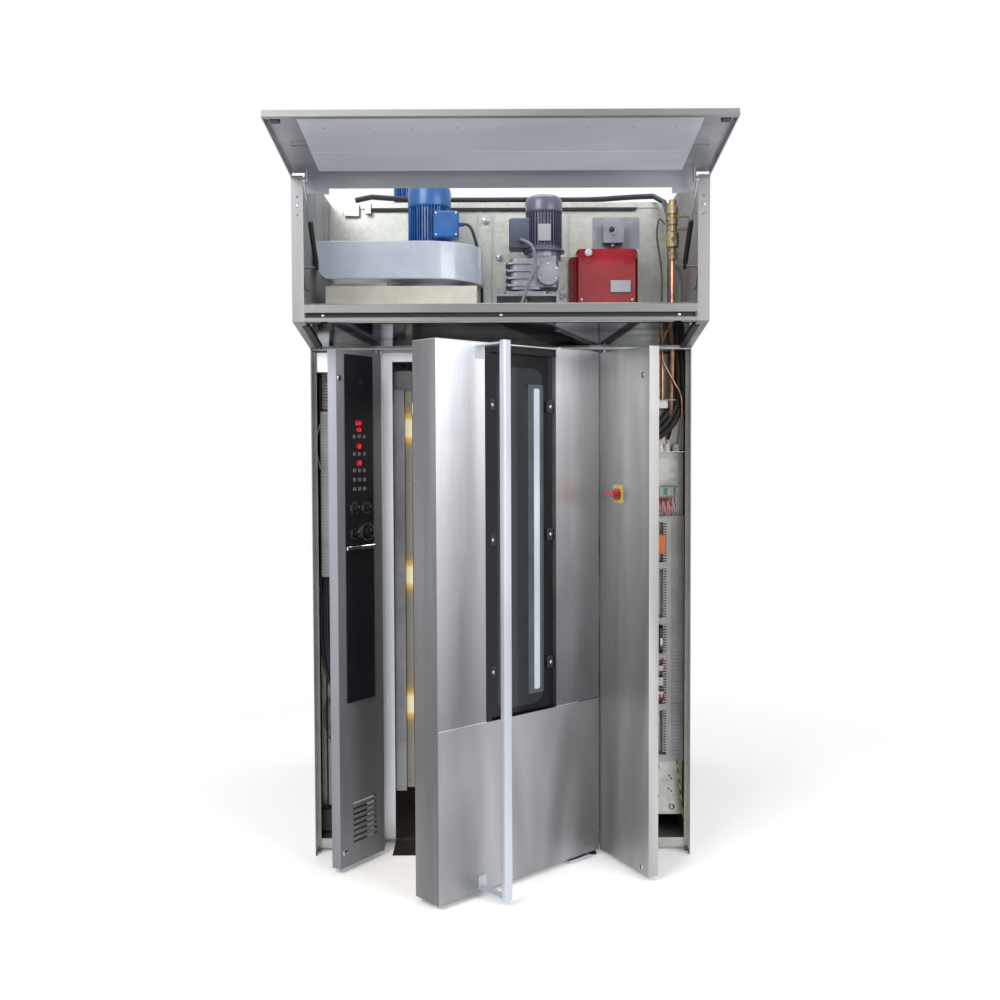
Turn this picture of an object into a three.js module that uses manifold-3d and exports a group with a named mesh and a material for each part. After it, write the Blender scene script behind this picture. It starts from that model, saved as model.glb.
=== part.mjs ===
// Rotating rack oven: a baking chamber with a hanging rack carrier, a full-height glazed door, a control
// cabinet on the left, an electrical cabinet on the right, and a machine compartment on the roof behind a
// lifting front flap. Millimetres, +Z up, front towards -Y. The origin is on the floor, at the centre of
// the body's footprint. Door, cabinet panels and flap are drawn shut and then swung open in their groups.

import * as THREE from 'three';
import { mergeVertices } from 'three/addons/utils/BufferGeometryUtils.js';
import Module from 'manifold-3d';

const wasm = await Module();
wasm.setup();

// ---- Driving dimensions -------------------------------------------------------------------------------
const bodyWidth = 1400;
const bodyDepth = 1350;
const doorTopHeight = 1873; // top edge of the door, above the floor
const hoodReach = 348; // how far the roof compartment stands out over the door
const hoodFloorFront = doorTopHeight + 72; // lower edge of the hood's front
const hoodTop = doorTopHeight + 549; // flap hinge height
const skin = 3; // folded sheet of panels and casings
const fit = 0.4; // clearance between pieces that touch or slide
const swingGap = 2; // clearance round leaves that swing

// Leaves of the front: how far each stands open in the photographed state.
const doorOpen = 42.7;
const controlPanelOpen = 56;
const switchPanelOpen = 63.3;
const flapOpen = 97.4;

// Door
const doorThick = 120;
const doorBottom = 18;
const doorPivotX = bodyWidth / 2 - 366;
const doorPivotY = 25; // behind the outer face
const doorReach = doorPivotX + bodyWidth / 2 - 269; // pivot to the free edge
const doorHeel = 12; // pivot to the hinge edge
const doorSkin = 4;
const windowWidth = 316;
const windowFromPivot = 213; // pivot to the window's near edge
const windowBottom = 550;
const windowHead = 28; // door rail above the window
const glassThick = 6;
const handleFromPivot = doorReach - 193;
const handleStandoff = 134; // outer face of the bar, off the door
const handleWide = 33;
const handleDeep = 25;

// Cabinet panels
const panelThick = 40;
const panelBottom = 18;
const panelTop = doorTopHeight - 4;
const panelEdge = 8; // pivot to the hinge edge
const panelPivotDepth = 15; // pivot behind the outer face
const controlPanelWidth = 243;
const controlPivotX = -bodyWidth / 2 + 240;
const switchPanelWidth = 322;
const switchPivotX = bodyWidth / 2 - 319;
const pintleRadius = 5;

// Chamber
const sealPlane = 125; // face that the door's gasket meets
const chamberFront = 200;
const chamberBack = bodyDepth - 130;
const chamberLeft = -bodyWidth / 2 + 140;
const chamberRight = bodyWidth / 2 - 224;
const chamberFloorTop = 20;
const chamberTop = doorTopHeight - 23;
const chamberWall = 80;
const mouthLeft = -bodyWidth / 2 + 288;
const mouthRight = bodyWidth / 2 - 384;
const roofTop = doorTopHeight + 177; // insulated ceiling, upper side

// Base
const baseHeight = 50;
const baseSetback = 45;
const kickHeight = 15;
const kickDepth = 20;

// Roof compartment
const backPanelY = 490;
const backPanelTop = hoodTop + 103;
const postWidth = 37;
const railHeight = 27;
const railSlot = 17;
const flapLength = 464;
const flapDepth = 21;
const flapRearFlange = 35;
const flapTabDepth = 55;
const flapTabWidth = 82;

// Gas struts, in the plane of the side walls
const strutX = bodyWidth / 2 - 38;
const strutFootY = -150;
const strutFootZ = roofTop + 108;
const strutBallBack = -46; // ball stud from the flap hinge, with the flap open
const strutBallDrop = -22;
const strutTubeRadius = 9;
const strutRodRadius = 4;
const strutTubeLength = 190;

// Rack drive
const rackX = (mouthLeft + mouthRight) / 2;
const rackY = (chamberFront + chamberBack) / 2;
const gearX = rackX + 146;
const gearY = 250;
const gearMotorX = gearX + 70;
const gearPlateTop = roofTop + 58;
const drivePulleyRadius = 45;
const rackPulleyRadius = 90;
const pulleyHeight = 30;
const pulleyBottom = roofTop - 42;
const beltThick = 6;
const spindleRadius = 20;

// Circulation fan
const fanX = -bodyWidth / 2 + 424;
const fanY = 270;
const fanBottom = roofTop + 100;
const fanHeight = 140;
const fanWall = 3;
const scrollStart = 155; // scroll radius at its tongue
const scrollGrowth = 70; // growth from the tongue to the outlet
const tongueAngle = 250;
const outletWidth = 120;
const wheelRadius = 135;
const wheelHeight = 96;
const bladeCount = 10;
const shaftRadius = 12;
const plinthTop = roofTop + 75;
const plinthLeft = -bodyWidth / 2 + 49;
const plinthRight = gearX - 188;

// Motors: barrel radius, finned length, cowl length
const fanMotor = { radius: 84, fins: 160, cowl: 96, ribs: 12 };
const gearMotor = { radius: 71, fins: 150, cowl: 66, ribs: 12 };

// Burner: its cover, and the blast tube's axis
const burner = {
  left: bodyWidth / 2 - 401, right: bodyWidth / 2 - 154, front: 345,
  bottom: roofTop + 20, top: roofTop + 262, x: bodyWidth / 2 - 280, z: roofTop + 130,
};
const burnerCoverDepth = 105;
const blastTubeRadius = 50;

// Second fan, on the exchanger casing
const steamFanX = fanX - 97;
const steamFanY = 720;

// ---- Solids -------------------------------------------------------------------------------------------
// Every helper gives a closed solid; geometries come from three.js and are joined and cut afterwards.

function solidOf(geometry) {
  geometry.deleteAttribute('normal');
  geometry.deleteAttribute('uv');
  const merged = mergeVertices(geometry, 1e-4);
  const mesh = new wasm.Mesh({
    numProp: 3,
    vertProperties: new Float32Array(merged.attributes.position.array),
    triVerts: new Uint32Array(merged.index.array),
  });
  return new wasm.Manifold(mesh);
}

function geometryOf(solid) {
  const mesh = solid.getMesh();
  const geometry = new THREE.BufferGeometry();
  geometry.setAttribute('position', new THREE.BufferAttribute(mesh.vertProperties, 3));
  geometry.setIndex(new THREE.BufferAttribute(mesh.triVerts, 1));
  return geometry;
}

const join = (first, ...rest) => rest.flat().reduce((sum, next) => sum.add(next), first);
const cut = (first, ...tools) => tools.flat().reduce((left, tool) => left.subtract(tool), first);

function block(x0, x1, y0, y1, z0, z1) {
  const geometry = new THREE.BoxGeometry(x1 - x0, y1 - y0, z1 - z0);
  return solidOf(geometry.translate((x0 + x1) / 2, (y0 + y1) / 2, (z0 + z1) / 2));
}

const shapeOf = (outline) =>
  outline instanceof THREE.Shape
    ? outline : new THREE.Shape(outline.map(([u, v]) => new THREE.Vector2(u, v)));

function extruded(outline, depth, curveSegments = 2) {
  return new THREE.ExtrudeGeometry(shapeOf(outline), { depth, bevelEnabled: false, curveSegments });
}

// Outlines in plan (x, y), in side view (y, z) and in front view (x, z), carried along the third axis.
function alongZ(outline, z0, z1, curveSegments) {
  return solidOf(extruded(outline, z1 - z0, curveSegments).translate(0, 0, z0));
}

function alongX(outline, x0, x1, curveSegments) {
  const turn = new THREE.Matrix4().makeBasis(
    new THREE.Vector3(0, 1, 0), new THREE.Vector3(0, 0, 1), new THREE.Vector3(1, 0, 0));
  return solidOf(extruded(outline, x1 - x0, curveSegments).applyMatrix4(turn).translate(x0, 0, 0));
}

function alongY(outline, y0, y1, curveSegments) {
  return solidOf(extruded(outline, y1 - y0, curveSegments).rotateX(Math.PI / 2).translate(0, y1, 0));
}

function roundedOutline(u0, u1, v0, v1, radius) {
  const shape = new THREE.Shape();
  shape.absarc(u1 - radius, v1 - radius, radius, 0, Math.PI / 2);
  shape.absarc(u0 + radius, v1 - radius, radius, Math.PI / 2, Math.PI);
  shape.absarc(u0 + radius, v0 + radius, radius, Math.PI, 1.5 * Math.PI);
  shape.absarc(u1 - radius, v0 + radius, radius, 1.5 * Math.PI, 2 * Math.PI);
  return shape;
}

// A sheet profile folded along a line of points: offset to one side by the sheet thickness.
function foldedOutline(points, thickness) {
  const near = points.map(([u, v]) => new THREE.Vector2(u, v));
  const far = near.map((point, i) => {
    const before = i > 0 ? point.clone().sub(near[i - 1]).normalize() : null;
    const after = i < near.length - 1 ? near[i + 1].clone().sub(point).normalize() : null;
    const a = before ?? after;
    const b = after ?? before;
    const normal = new THREE.Vector2(-(a.y + b.y), a.x + b.x).normalize();
    const half = Math.max(0.3, normal.dot(new THREE.Vector2(-b.y, b.x)));
    return point.clone().addScaledVector(normal, thickness / half);
  });
  return [...near, ...far.reverse()].map((point) => [point.x, point.y]);
}

function turned(profile, sides = 24) {
  return solidOf(new THREE.LatheGeometry(profile.map(([r, z]) => new THREE.Vector2(r, z)), sides)
    .rotateX(Math.PI / 2));
}

// A round bar between two points, and a tube swept along a smooth route.
function bar(from, to, radius, sides = 12) {
  const start = new THREE.Vector3(...from);
  const run = new THREE.Vector3(...to).sub(start);
  const geometry = new THREE.CylinderGeometry(radius, radius, run.length(), sides);
  const turn = new THREE.Quaternion().setFromUnitVectors(new THREE.Vector3(0, 1, 0), run.clone().normalize());
  const centre = start.addScaledVector(run, 0.5);
  return solidOf(geometry.applyQuaternion(turn).translate(centre.x, centre.y, centre.z));
}

function sweep(points, radius, steps, sides = 8) {
  const route = new THREE.CatmullRomCurve3(points.map((point) => new THREE.Vector3(...point)));
  const section = new THREE.Shape();
  section.absarc(0, 0, radius, 0, 2 * Math.PI);
  const options = { steps, extrudePath: route, bevelEnabled: false, curveSegments: sides / 2 };
  return solidOf(new THREE.ExtrudeGeometry(section, options));
}

function placed(solid, matrix) {
  const geometry = geometryOf(solid).applyMatrix4(matrix);
  if (matrix.determinant() < 0) geometry.index.array.reverse(); // a mirrored solid still faces outwards
  return solidOf(geometry);
}
const at = (solid, x, y, z) => placed(solid, new THREE.Matrix4().makeTranslation(x, y, z));
const spun = (solid, degrees) =>
  placed(solid, new THREE.Matrix4().makeRotationZ(THREE.MathUtils.degToRad(degrees)));
const mirrored = (solid) => placed(solid, new THREE.Matrix4().makeScale(-1, 1, 1));
const spread = (count, from, to) =>
  Array.from({ length: count }, (_, i) => from + ((to - from) * i) / (count - 1));

// ---- Materials and the assembly -----------------------------------------------------------------------
const finish = (color, roughness, metalness) =>
  new THREE.MeshStandardMaterial({ color, roughness, metalness });
const brushedSteel = finish(0x9a9a9e, 0.35, 1);
const mirrorSteel = finish(0x8a8c94, 0.12, 1);
const galvanised = finish(0xb8bab0, 0.45, 1);
const darkSteel = finish(0x5a5a5c, 0.5, 1);
const greyPaint = finish(0x8f9bab, 0.25, 0.1);
const creamPaint = finish(0xb4b2a8, 0.6, 0);
const bluePaint = finish(0x1f63a8, 0.4, 0);
const slatePaint = finish(0x4b5062, 0.4, 0);
const castAluminium = finish(0x9a9ca2, 0.5, 1);
const redCover = finish(0xc21f2f, 0.15, 0);
const blackPlastic = finish(0x1c1c20, 0.4, 0);
const brass = finish(0xb09a68, 0.35, 1);
const copper = finish(0xb88468, 0.35, 1);
const glass = finish(0x2c3438, 0.05, 0);
const rubber = finish(0x202020, 0.8, 0);

const oven = new THREE.Group();
oven.position.y = -bodyDepth / 2; // everything below is measured back from the front plane

// A leaf that swings: a group at its pivot, turned to the photographed state.
function swinging(x, y, z, turnX, turnZ) {
  const group = new THREE.Group();
  group.position.set(x, y, z);
  group.rotation.set(THREE.MathUtils.degToRad(turnX), 0, THREE.MathUtils.degToRad(turnZ));
  oven.add(group);
  return group;
}

function piece(name, solid, material, group = oven) {
  const mesh = new THREE.Mesh(geometryOf(solid), material);
  mesh.name = name;
  group.add(mesh);
}

const halfInside = bodyWidth / 2 - skin;
const wallFront = sealPlane + 15; // front of the insulated walls, behind the sealing face
const wallBack = chamberBack + chamberWall;
const wallLeft = chamberLeft - chamberWall;
const wallRight = chamberRight + chamberWall;
const headerBottom = doorTopHeight + 10;
const bodyFrontTop = headerBottom + 4; // where the hood meets the body
const jambLeft = doorPivotX - Math.hypot(doorReach, doorThick - doorPivotY) - swingGap - 7;
const jambRight = doorPivotX + doorHeel + 4;
const panelPivots = [controlPivotX, switchPivotX];
const strapThick = 6;
const doorPinRadius = 8;

// ---- Base, floor and insulated chamber ----------------------------------------------------------------
function baseFrame() {
  const slab = block(-halfInside, halfInside, baseSetback, bodyDepth - skin, 0, baseHeight);
  const floorWell = block(chamberLeft, chamberRight, chamberFront, chamberBack, -1, baseHeight + 1);
  const passage = block(mouthLeft, mouthRight, 0, chamberFront + 1, -1, baseHeight + 1);
  const doorway = block(jambLeft - skin, jambRight + 20, 0, wallFront, -1, baseHeight + 1);
  const kicks = [[-halfInside - 1, jambLeft - 20], [jambRight + 40, halfInside + 1]].map(([x0, x1]) =>
    block(x0, x1, 0, baseSetback + kickDepth, -1, kickHeight));
  const lightening = [chamberLeft - 110, chamberRight + 60].map((x) =>
    block(x, x + 90, 300, bodyDepth - 100, -1, baseHeight - 6));
  const pintles = panelPivots.map((x) => {
    const tab = block(x - 14, x + 14, panelPivotDepth - 12, baseSetback + 1, kickHeight, kickHeight + 2.4);
    const pin = bar([x, panelPivotDepth, kickHeight], [x, panelPivotDepth, kickHeight + 35], pintleRadius);
    return join(tab, pin);
  });
  return join(cut(slab, floorWell, passage, doorway, kicks, lightening), pintles);
}

function chamberFloor() {
  const plate = block(chamberLeft, chamberRight, chamberFront, chamberBack, 0, chamberFloorTop);
  const rampProfile = [[0, 0], [chamberFront + 1, 0], [chamberFront + 1, chamberFloorTop],
    [sealPlane + 12, chamberFloorTop], [sealPlane, doorBottom - 5], [60, 6], [0, 3]];
  const ramp = alongX(rampProfile, mouthLeft, mouthRight);
  const pivotTab = block(mouthRight - 1, doorPivotX + 16, 4, 60, 0, 6);
  const doorPin = bar([doorPivotX, doorPivotY, 0], [doorPivotX, doorPivotY, 46], doorPinRadius);
  return join(plate, ramp, pivotTab, doorPin);
}

// Sheet linings with the wool left out: the space between them is open towards the base.
function chamberWalls() {
  const outer = roundedOutline(wallLeft, wallRight, wallFront, wallBack, 12);
  const inner = roundedOutline(chamberLeft, chamberRight, chamberFront, chamberBack, 60);
  const mouth = block(mouthLeft, mouthRight, wallFront - 1, chamberFront + 1, baseHeight, chamberTop + 1);
  const shell = cut(alongZ(outer, baseHeight, chamberTop), alongZ(inner, baseHeight - 1, chamberTop + 1));
  const woolOuter = roundedOutline(wallLeft + skin, wallRight - skin, wallFront + skin, wallBack - skin, 10);
  const woolInner = roundedOutline(chamberLeft - skin, chamberRight + skin, chamberFront - skin,
    chamberBack + skin, 63);
  const woolMouth = block(mouthLeft - skin, mouthRight + skin, wallFront, chamberFront, 0, roofTop);
  const wool = cut(alongZ(woolOuter, baseHeight - 1, chamberTop - skin), alongZ(woolInner, 0, roofTop),
    woolMouth);
  return cut(shell, mouth, wool);
}

// The belt's way round the two pulleys of the rack drive, at a given distance off the pulley faces.
function beltLoop(offset) {
  const apart = Math.hypot(rackX - gearX, rackY - gearY);
  const heading = Math.atan2(rackY - gearY, rackX - gearX);
  const lean = Math.acos((drivePulleyRadius - rackPulleyRadius) / apart);
  const shape = new THREE.Shape();
  shape.absarc(gearX, gearY, drivePulleyRadius + offset, heading + lean, heading - lean + 2 * Math.PI);
  shape.absarc(rackX, rackY, rackPulleyRadius + offset, heading - lean, heading + lean);
  return shape;
}

// The ceiling's wool space is open towards the rear; the belt well and both ducts keep their linings.
function chamberCeiling() {
  const slab = block(wallLeft, wallRight, wallFront, wallBack, chamberTop, roofTop);
  const beltWell = alongZ(beltLoop(beltThick + 10), pulleyBottom - 4, roofTop + 1, 8);
  const spindleHole = bar([rackX, rackY, chamberTop - 1], [rackX, rackY, pulleyBottom], spindleRadius + 4);
  const suction = block(fanX - 120, fanX + 120, chamberFront + 5, backPanelY - 10, chamberTop - 1,
    roofTop + 1);
  const space = block(wallLeft + skin, wallRight - skin, wallFront + skin, wallBack + 1, chamberTop + skin,
    roofTop - skin);
  const wellLining = alongZ(beltLoop(beltThick + 10 + skin), pulleyBottom - 4 - skin, roofTop, 8);
  const spindleLining = bar([rackX, rackY, chamberTop], [rackX, rackY, pulleyBottom],
    spindleRadius + 4 + skin);
  const ductLining = block(fanX - 120 - skin, fanX + 120 + skin, chamberFront + 5 - skin,
    backPanelY - 10 + skin, chamberTop, roofTop);
  return cut(slab, cut(space, wellLining, spindleLining, ductLining), beltWell, spindleHole, suction);
}

function roofDeck() {
  const sheet = block(-halfInside, halfInside, 0, bodyDepth - skin, roofTop, roofTop + skin);
  const shaftHole = bar([gearX, gearY, roofTop - 1], [gearX, gearY, roofTop + 9], shaftRadius + 8, 20);
  const suction = block(fanX - 120, fanX + 120, chamberFront + 5, backPanelY - 10, roofTop - 1, roofTop + 9);
  return cut(sheet, shaftHole, suction);
}

// ---- Door frame and header ----------------------------------------------------------------------------
function doorFrame() {
  const face = block(jambLeft - skin, jambRight + skin, sealPlane, wallFront, chamberFloorTop, headerBottom);
  const mouth = block(mouthLeft, mouthRight, sealPlane - 1, wallFront + 1, 0, chamberTop);
  const leftLiner = block(jambLeft - skin, jambLeft, baseSetback, wallFront, baseHeight, headerBottom);
  const rightLiner = block(jambRight, jambRight + skin, baseSetback + 20, wallFront, baseHeight, headerBottom);
  return join(cut(face, mouth), leftLiner, rightLiner);
}

function frontHeader() {
  const front = skin + 1;
  const channel = foldedOutline([[wallFront, headerBottom], [front, headerBottom], [front, roofTop],
    [wallFront, roofTop]], -skin);
  const beam = alongX(channel, -halfInside, halfInside);
  const panelPins = panelPivots.map((x) =>
    bar([x, panelPivotDepth, headerBottom + 1], [x, panelPivotDepth, panelTop - 30], pintleRadius));
  const doorPin = bar([doorPivotX, doorPivotY, headerBottom + 1],
    [doorPivotX, doorPivotY, doorTopHeight - 30], doorPinRadius);
  return join(beam, panelPins, doorPin);
}

// ---- Outer skins --------------------------------------------------------------------------------------
function sidePanel() {
  const outline = [[0, 0], [bodyDepth - skin, 0], [bodyDepth - skin, backPanelTop],
    [backPanelY, backPanelTop], [0, backPanelTop], [-hoodReach + 60, hoodTop - 2],
    [-hoodReach, hoodTop - 2], [-hoodReach, hoodFloorFront], [0, bodyFrontTop]];
  const wall = alongX(outline, -bodyWidth / 2, -halfInside);
  const postFold = foldedOutline([[-hoodReach, hoodTop - 2], [-hoodReach, hoodFloorFront],
    [skin, bodyFrontTop - 1.5]], skin);
  const post = alongX(postFold, -halfInside - 1, -halfInside + postWidth);
  const stopY = panelThick + swingGap; // flange that the shut cabinet panel comes to rest on
  const edge = block(-halfInside - 1, -halfInside + 12, stopY, stopY + skin - fit, 0, headerBottom - fit);
  const hingeLeaf = block(-halfInside + 4, -halfInside + postWidth, -hoodReach + 1, -hoodReach + 6,
    hoodTop - 40, hoodTop + 8);
  const hingePin = bar([-bodyWidth / 2, -hoodReach - 2, hoodTop + 2],
    [-halfInside + postWidth, -hoodReach - 2, hoodTop + 2], 4);
  const gusset = alongX([[-220, roofTop + 160], [-60, roofTop + 160], [-60, roofTop + 40],
    [-120, roofTop + 40]], -halfInside - 1, -halfInside + 5);
  const strutStud = bar([-halfInside, strutFootY, strutFootZ], [-strutX + 14 + 8, strutFootY, strutFootZ], 4);
  const holes = [hoodTop - 62, hoodTop - 122].map((z, i) => bar([-halfInside + 18, -hoodReach - 1, z],
    [-halfInside + 18, -hoodReach + 9, z], 4 - i, 10));
  return cut(join(wall, post, edge, hingeLeaf, hingePin, gusset, strutStud), holes);
}

function rearPanel() {
  const sheet = block(-bodyWidth / 2, bodyWidth / 2, bodyDepth - skin, bodyDepth, 0, backPanelTop);
  const ribs = spread(5, 177 - halfInside, halfInside - 177).map((x) =>
    alongZ([[x - 14, bodyDepth - 1], [x + 14, bodyDepth - 1], [x + 9, bodyDepth + 5], [x - 9, bodyDepth + 5]],
      60, backPanelTop - 60));
  return join(sheet, ribs);
}

// ---- Roof compartment ---------------------------------------------------------------------------------
const postInner = halfInside - postWidth;
const railFront = -hoodReach;
const upperRailBottom = hoodFloorFront + 13 + railSlot;
const upperRailTop = upperRailBottom + railHeight;

function frontRails() {
  const upper = foldedOutline([[railFront + 30, upperRailTop], [railFront, upperRailTop],
    [railFront, upperRailBottom], [railFront + 30, upperRailBottom]], skin);
  const lower = foldedOutline([[railFront + 30, hoodFloorFront + 13], [railFront, hoodFloorFront + 13],
    [railFront, hoodFloorFront], [railFront + 8, hoodFloorFront]], skin);
  const brackets = [60 - postInner, 0, postInner - 60].map((x) =>
    block(x - 14, x + 14, railFront + 14, railFront + 20, hoodFloorFront + 9, upperRailBottom + 5));
  return join(alongX(upper, -postInner, postInner), alongX(lower, -postInner, postInner), brackets);
}

function hoodUnderside() {
  const drop = (hoodFloorFront - bodyFrontTop) / hoodReach;
  const line = (y, lift) => [y, bodyFrontTop - drop * y + lift];
  const sheet = alongX([line(railFront + 40, 4), line(skin + 0.9, 4), line(skin + 0.9, 7),
    line(railFront + 40, 7)], -halfInside, halfInside);
  const runners = [-1, 1].map((side) => alongX([line(railFront + 40, 6), line(-20, 6), line(-20, 24),
    line(railFront + 40, 24)], side * (postInner - 60) - 12, side * (postInner - 60) + 12));
  return join(sheet, runners);
}

const casingFront = backPanelY + skin;
const casingTop = backPanelTop - 30;
const flue = { x: burner.x - 40, y: chamberBack - 180 };
// The heat exchanger's case, an open-bottomed shell on the roof deck.
function exchangerCasing() {
  const body = alongY(roundedOutline(-halfInside + 8, halfInside - 8, roofTop + skin, casingTop, 6),
    casingFront, bodyDepth - skin, 2);
  const seams = spread(3, chamberBack - 500, chamberBack - 20).map((y) =>
    block(-halfInside, halfInside, y, y + 4, casingTop - 1.5, casingTop + 1));
  const burnerPort = bar([burner.x, casingFront - 1, burner.z], [burner.x, casingFront + 160, burner.z],
    blastTubeRadius + 6, 20);
  const fluePort = bar([flue.x, flue.y, casingTop - 60], [flue.x, flue.y, casingTop + 1], 74, 24);
  const inside = alongY(roundedOutline(-halfInside + 11, halfInside - 11, roofTop, casingTop - skin, 4),
    casingFront + skin, bodyDepth - 2 * skin, 2);
  return cut(body, inside, seams, burnerPort, fluePort);
}

function flueCollar() {
  const wall = [[75, 0], [100, 0], [100, 3], [78, 3], [78, 20], [78, 62], [81, 66], [78, 70], [75, 70]];
  const ring = [...wall, wall[0]];
  return at(turned(ring, 28), flue.x, flue.y, casingTop - 2);
}

const panelSeams = [-88, -27, 252];
function compartmentBackPanel() {
  const sheet = block(-halfInside, halfInside, backPanelY, backPanelY + skin, roofTop + skin, backPanelTop);
  const railSide = [[backPanelY + skin, backPanelTop - 22], [backPanelY - 8, backPanelTop - 22],
    [backPanelY - 8, backPanelTop], [backPanelY + skin, backPanelTop]];
  const rail = alongX(foldedOutline(railSide, -skin), 57 - halfInside, halfInside - 57);
  const seams = panelSeams.map((x) =>
    block(x, x + 8, backPanelY - 2, backPanelY + 1, roofTop + skin, backPanelTop - 30));
  const lugX = 85 - halfInside;
  const lug = cut(
    block(lugX, lugX + 8, backPanelY - 6, backPanelY + skin, backPanelTop - 4, backPanelTop + 60),
    bar([lugX - 2, backPanelY - 2, backPanelTop + 40], [lugX + 12, backPanelY - 2, backPanelTop + 40], 3));
  const port = bar([burner.x, backPanelY - 9, burner.z], [burner.x, backPanelY + 9, burner.z],
    blastTubeRadius + 6, 20);
  return cut(join(sheet, rail, seams, lug), port);
}

// ---- Circulation fan ----------------------------------------------------------------------------------
function fanPlinth() {
  const shell = block(plinthLeft, plinthRight, 60, backPanelY - 20, roofTop + skin, plinthTop);
  const hollow = block(plinthLeft + skin, plinthRight - skin, 60 + skin, backPanelY - 20 - skin,
    roofTop, plinthTop - skin);
  const inlet = bar([fanX, fanY, plinthTop - 9], [fanX, fanY, plinthTop + 9], 92, 28);
  return cut(shell, hollow, inlet);
}

// The scroll in plan: its radius grows evenly from the tongue round to the front, where it runs out
// straight to the left as the outlet duct.
function scrollOutline(inset) {
  const sweepAngle = tongueAngle + 90;
  const points = spread(29, 0, 1).map((share) => {
    const angle = THREE.MathUtils.degToRad(tongueAngle - sweepAngle * share);
    const radius = scrollStart + scrollGrowth * share - inset;
    return [fanX + radius * Math.cos(angle), fanY + radius * Math.sin(angle)];
  });
  const front = fanY - scrollStart - scrollGrowth + inset;
  const outletEnd = -halfInside + 12 - (inset > 0 ? 1 : 0);
  points.push([outletEnd, front], [outletEnd, front + outletWidth - 2 * inset]);
  return points;
}

function fanVolute() {
  const casing = alongZ(scrollOutline(0), fanBottom, fanBottom + fanHeight);
  const hollow = alongZ(scrollOutline(fanWall), fanBottom + fanWall, fanBottom + fanHeight - fanWall);
  const inletRing = at(turned([[92, plinthTop - fanBottom], [112, plinthTop - fanBottom],
    [112, plinthTop - fanBottom + 4], [96, plinthTop - fanBottom + 8], [96, 1], [92, 1],
    [92, plinthTop - fanBottom]], 28), fanX, fanY, fanBottom);
  const inlet = bar([fanX, fanY, fanBottom - 1], [fanX, fanY, fanBottom + fanWall + 1], 92, 28);
  const shaftHole = bar([fanX, fanY, fanBottom + fanHeight - 9], [fanX, fanY, fanBottom + fanHeight + 1],
    shaftRadius + 6, 20);
  const lip = at(turned([[110, 0], [122, 0], [122, 3], [110, 3], [110, 0]], 28), fanX, fanY,
    fanBottom + fanHeight - 1);
  return cut(join(cut(casing, hollow), inletRing, lip), inlet, shaftHole);
}

// Backward-curved wheel: a back plate with its hub, arc blades, and a dished shroud round the inlet eye.
function fanWheel() {
  const base = fanBottom + fanWall + 12;
  const top = base + wheelHeight;
  const backPlate = at(turned([[0, 0], [wheelRadius, 0], [wheelRadius, 3], [40, 3], [34, 8], [0, 8]], 24),
    fanX, fanY, top - 8);
  const shroud = at(turned([[88, -6], [91, -6], [91, 2], [110, 12], [wheelRadius, 18], [wheelRadius, 21],
    [109, 15], [88, 4], [88, -6]], 24), fanX, fanY, base);
  const bladeArc = new THREE.QuadraticBezierCurve(new THREE.Vector2(92, 0), new THREE.Vector2(120, 6),
    new THREE.Vector2(wheelRadius * 0.9, -wheelRadius * 0.38)).getPoints(3).map((point) => [point.x, point.y]);
  const blade = alongZ(foldedOutline(bladeArc, 2.5), base + 14, top - 7);
  const blades = spread(bladeCount + 1, 0, 360).slice(1).map((angle) =>
    at(spun(blade, angle), fanX, fanY, 0));
  const shaft = bar([fanX, fanY, top - 2], [fanX, fanY, fanBottom + fanHeight + 8], shaftRadius, 16);
  return join(backPlate, blades, shroud, shaft);
}

// Foot-less flange motor standing on its drive end: flange, finned barrel, end ring and domed fan cowl.
function motor({ radius, fins, cowl, ribs }, x, y, z) {
  const r = radius;
  const core = turned([[0, 0], [r * 1.12, 0], [r * 1.12, 9], [r * 0.98, 12], [r * 0.98, 22], [r * 0.86, 24],
    [r * 0.86, fins], [r * 0.99, fins + 1], [r, fins + 8], [r, fins + cowl * 0.68],
    [r * 0.93, fins + cowl * 0.86], [r * 0.78, fins + cowl], [0, fins + cowl]], 20);
  const rib = block(r * 0.8, r * 0.99, -1.8, 1.8, 20, fins + 3);
  const finSet = spread(ribs + 1, 0, 360).slice(1).map((angle) => spun(rib, angle));
  return at(join(core, finSet), x, y, z);
}

function fanMotorBody() {
  const base = fanBottom + fanHeight;
  const bore = bar([fanX, fanY, base - 1], [fanX, fanY, base + 20], shaftRadius + fit, 20);
  const body = cut(motor(fanMotor, fanX, fanY, base), bore);
  const boxShape = roundedOutline(fanX + 22, fanX + 118, base + 30, base + 130, 8);
  const box = alongY(boxShape, fanY - fanMotor.radius - 42, fanY - fanMotor.radius + 22);
  const gland = bar([fanX + 116, fanY - fanMotor.radius - 12, base + 84],
    [fanX + 134, fanY - fanMotor.radius - 12, base + 84], 9, 12);
  return join(body, box, gland);
}

function steamFanMotor() {
  const body = motor(fanMotor, steamFanX, steamFanY, casingTop + 16);
  const foot = at(turned([[0, 0], [120, 0], [120, 6], [96, 10], [96, 17], [0, 17]], 28), steamFanX, steamFanY,
    casingTop);
  return join(body, foot);
}

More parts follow.
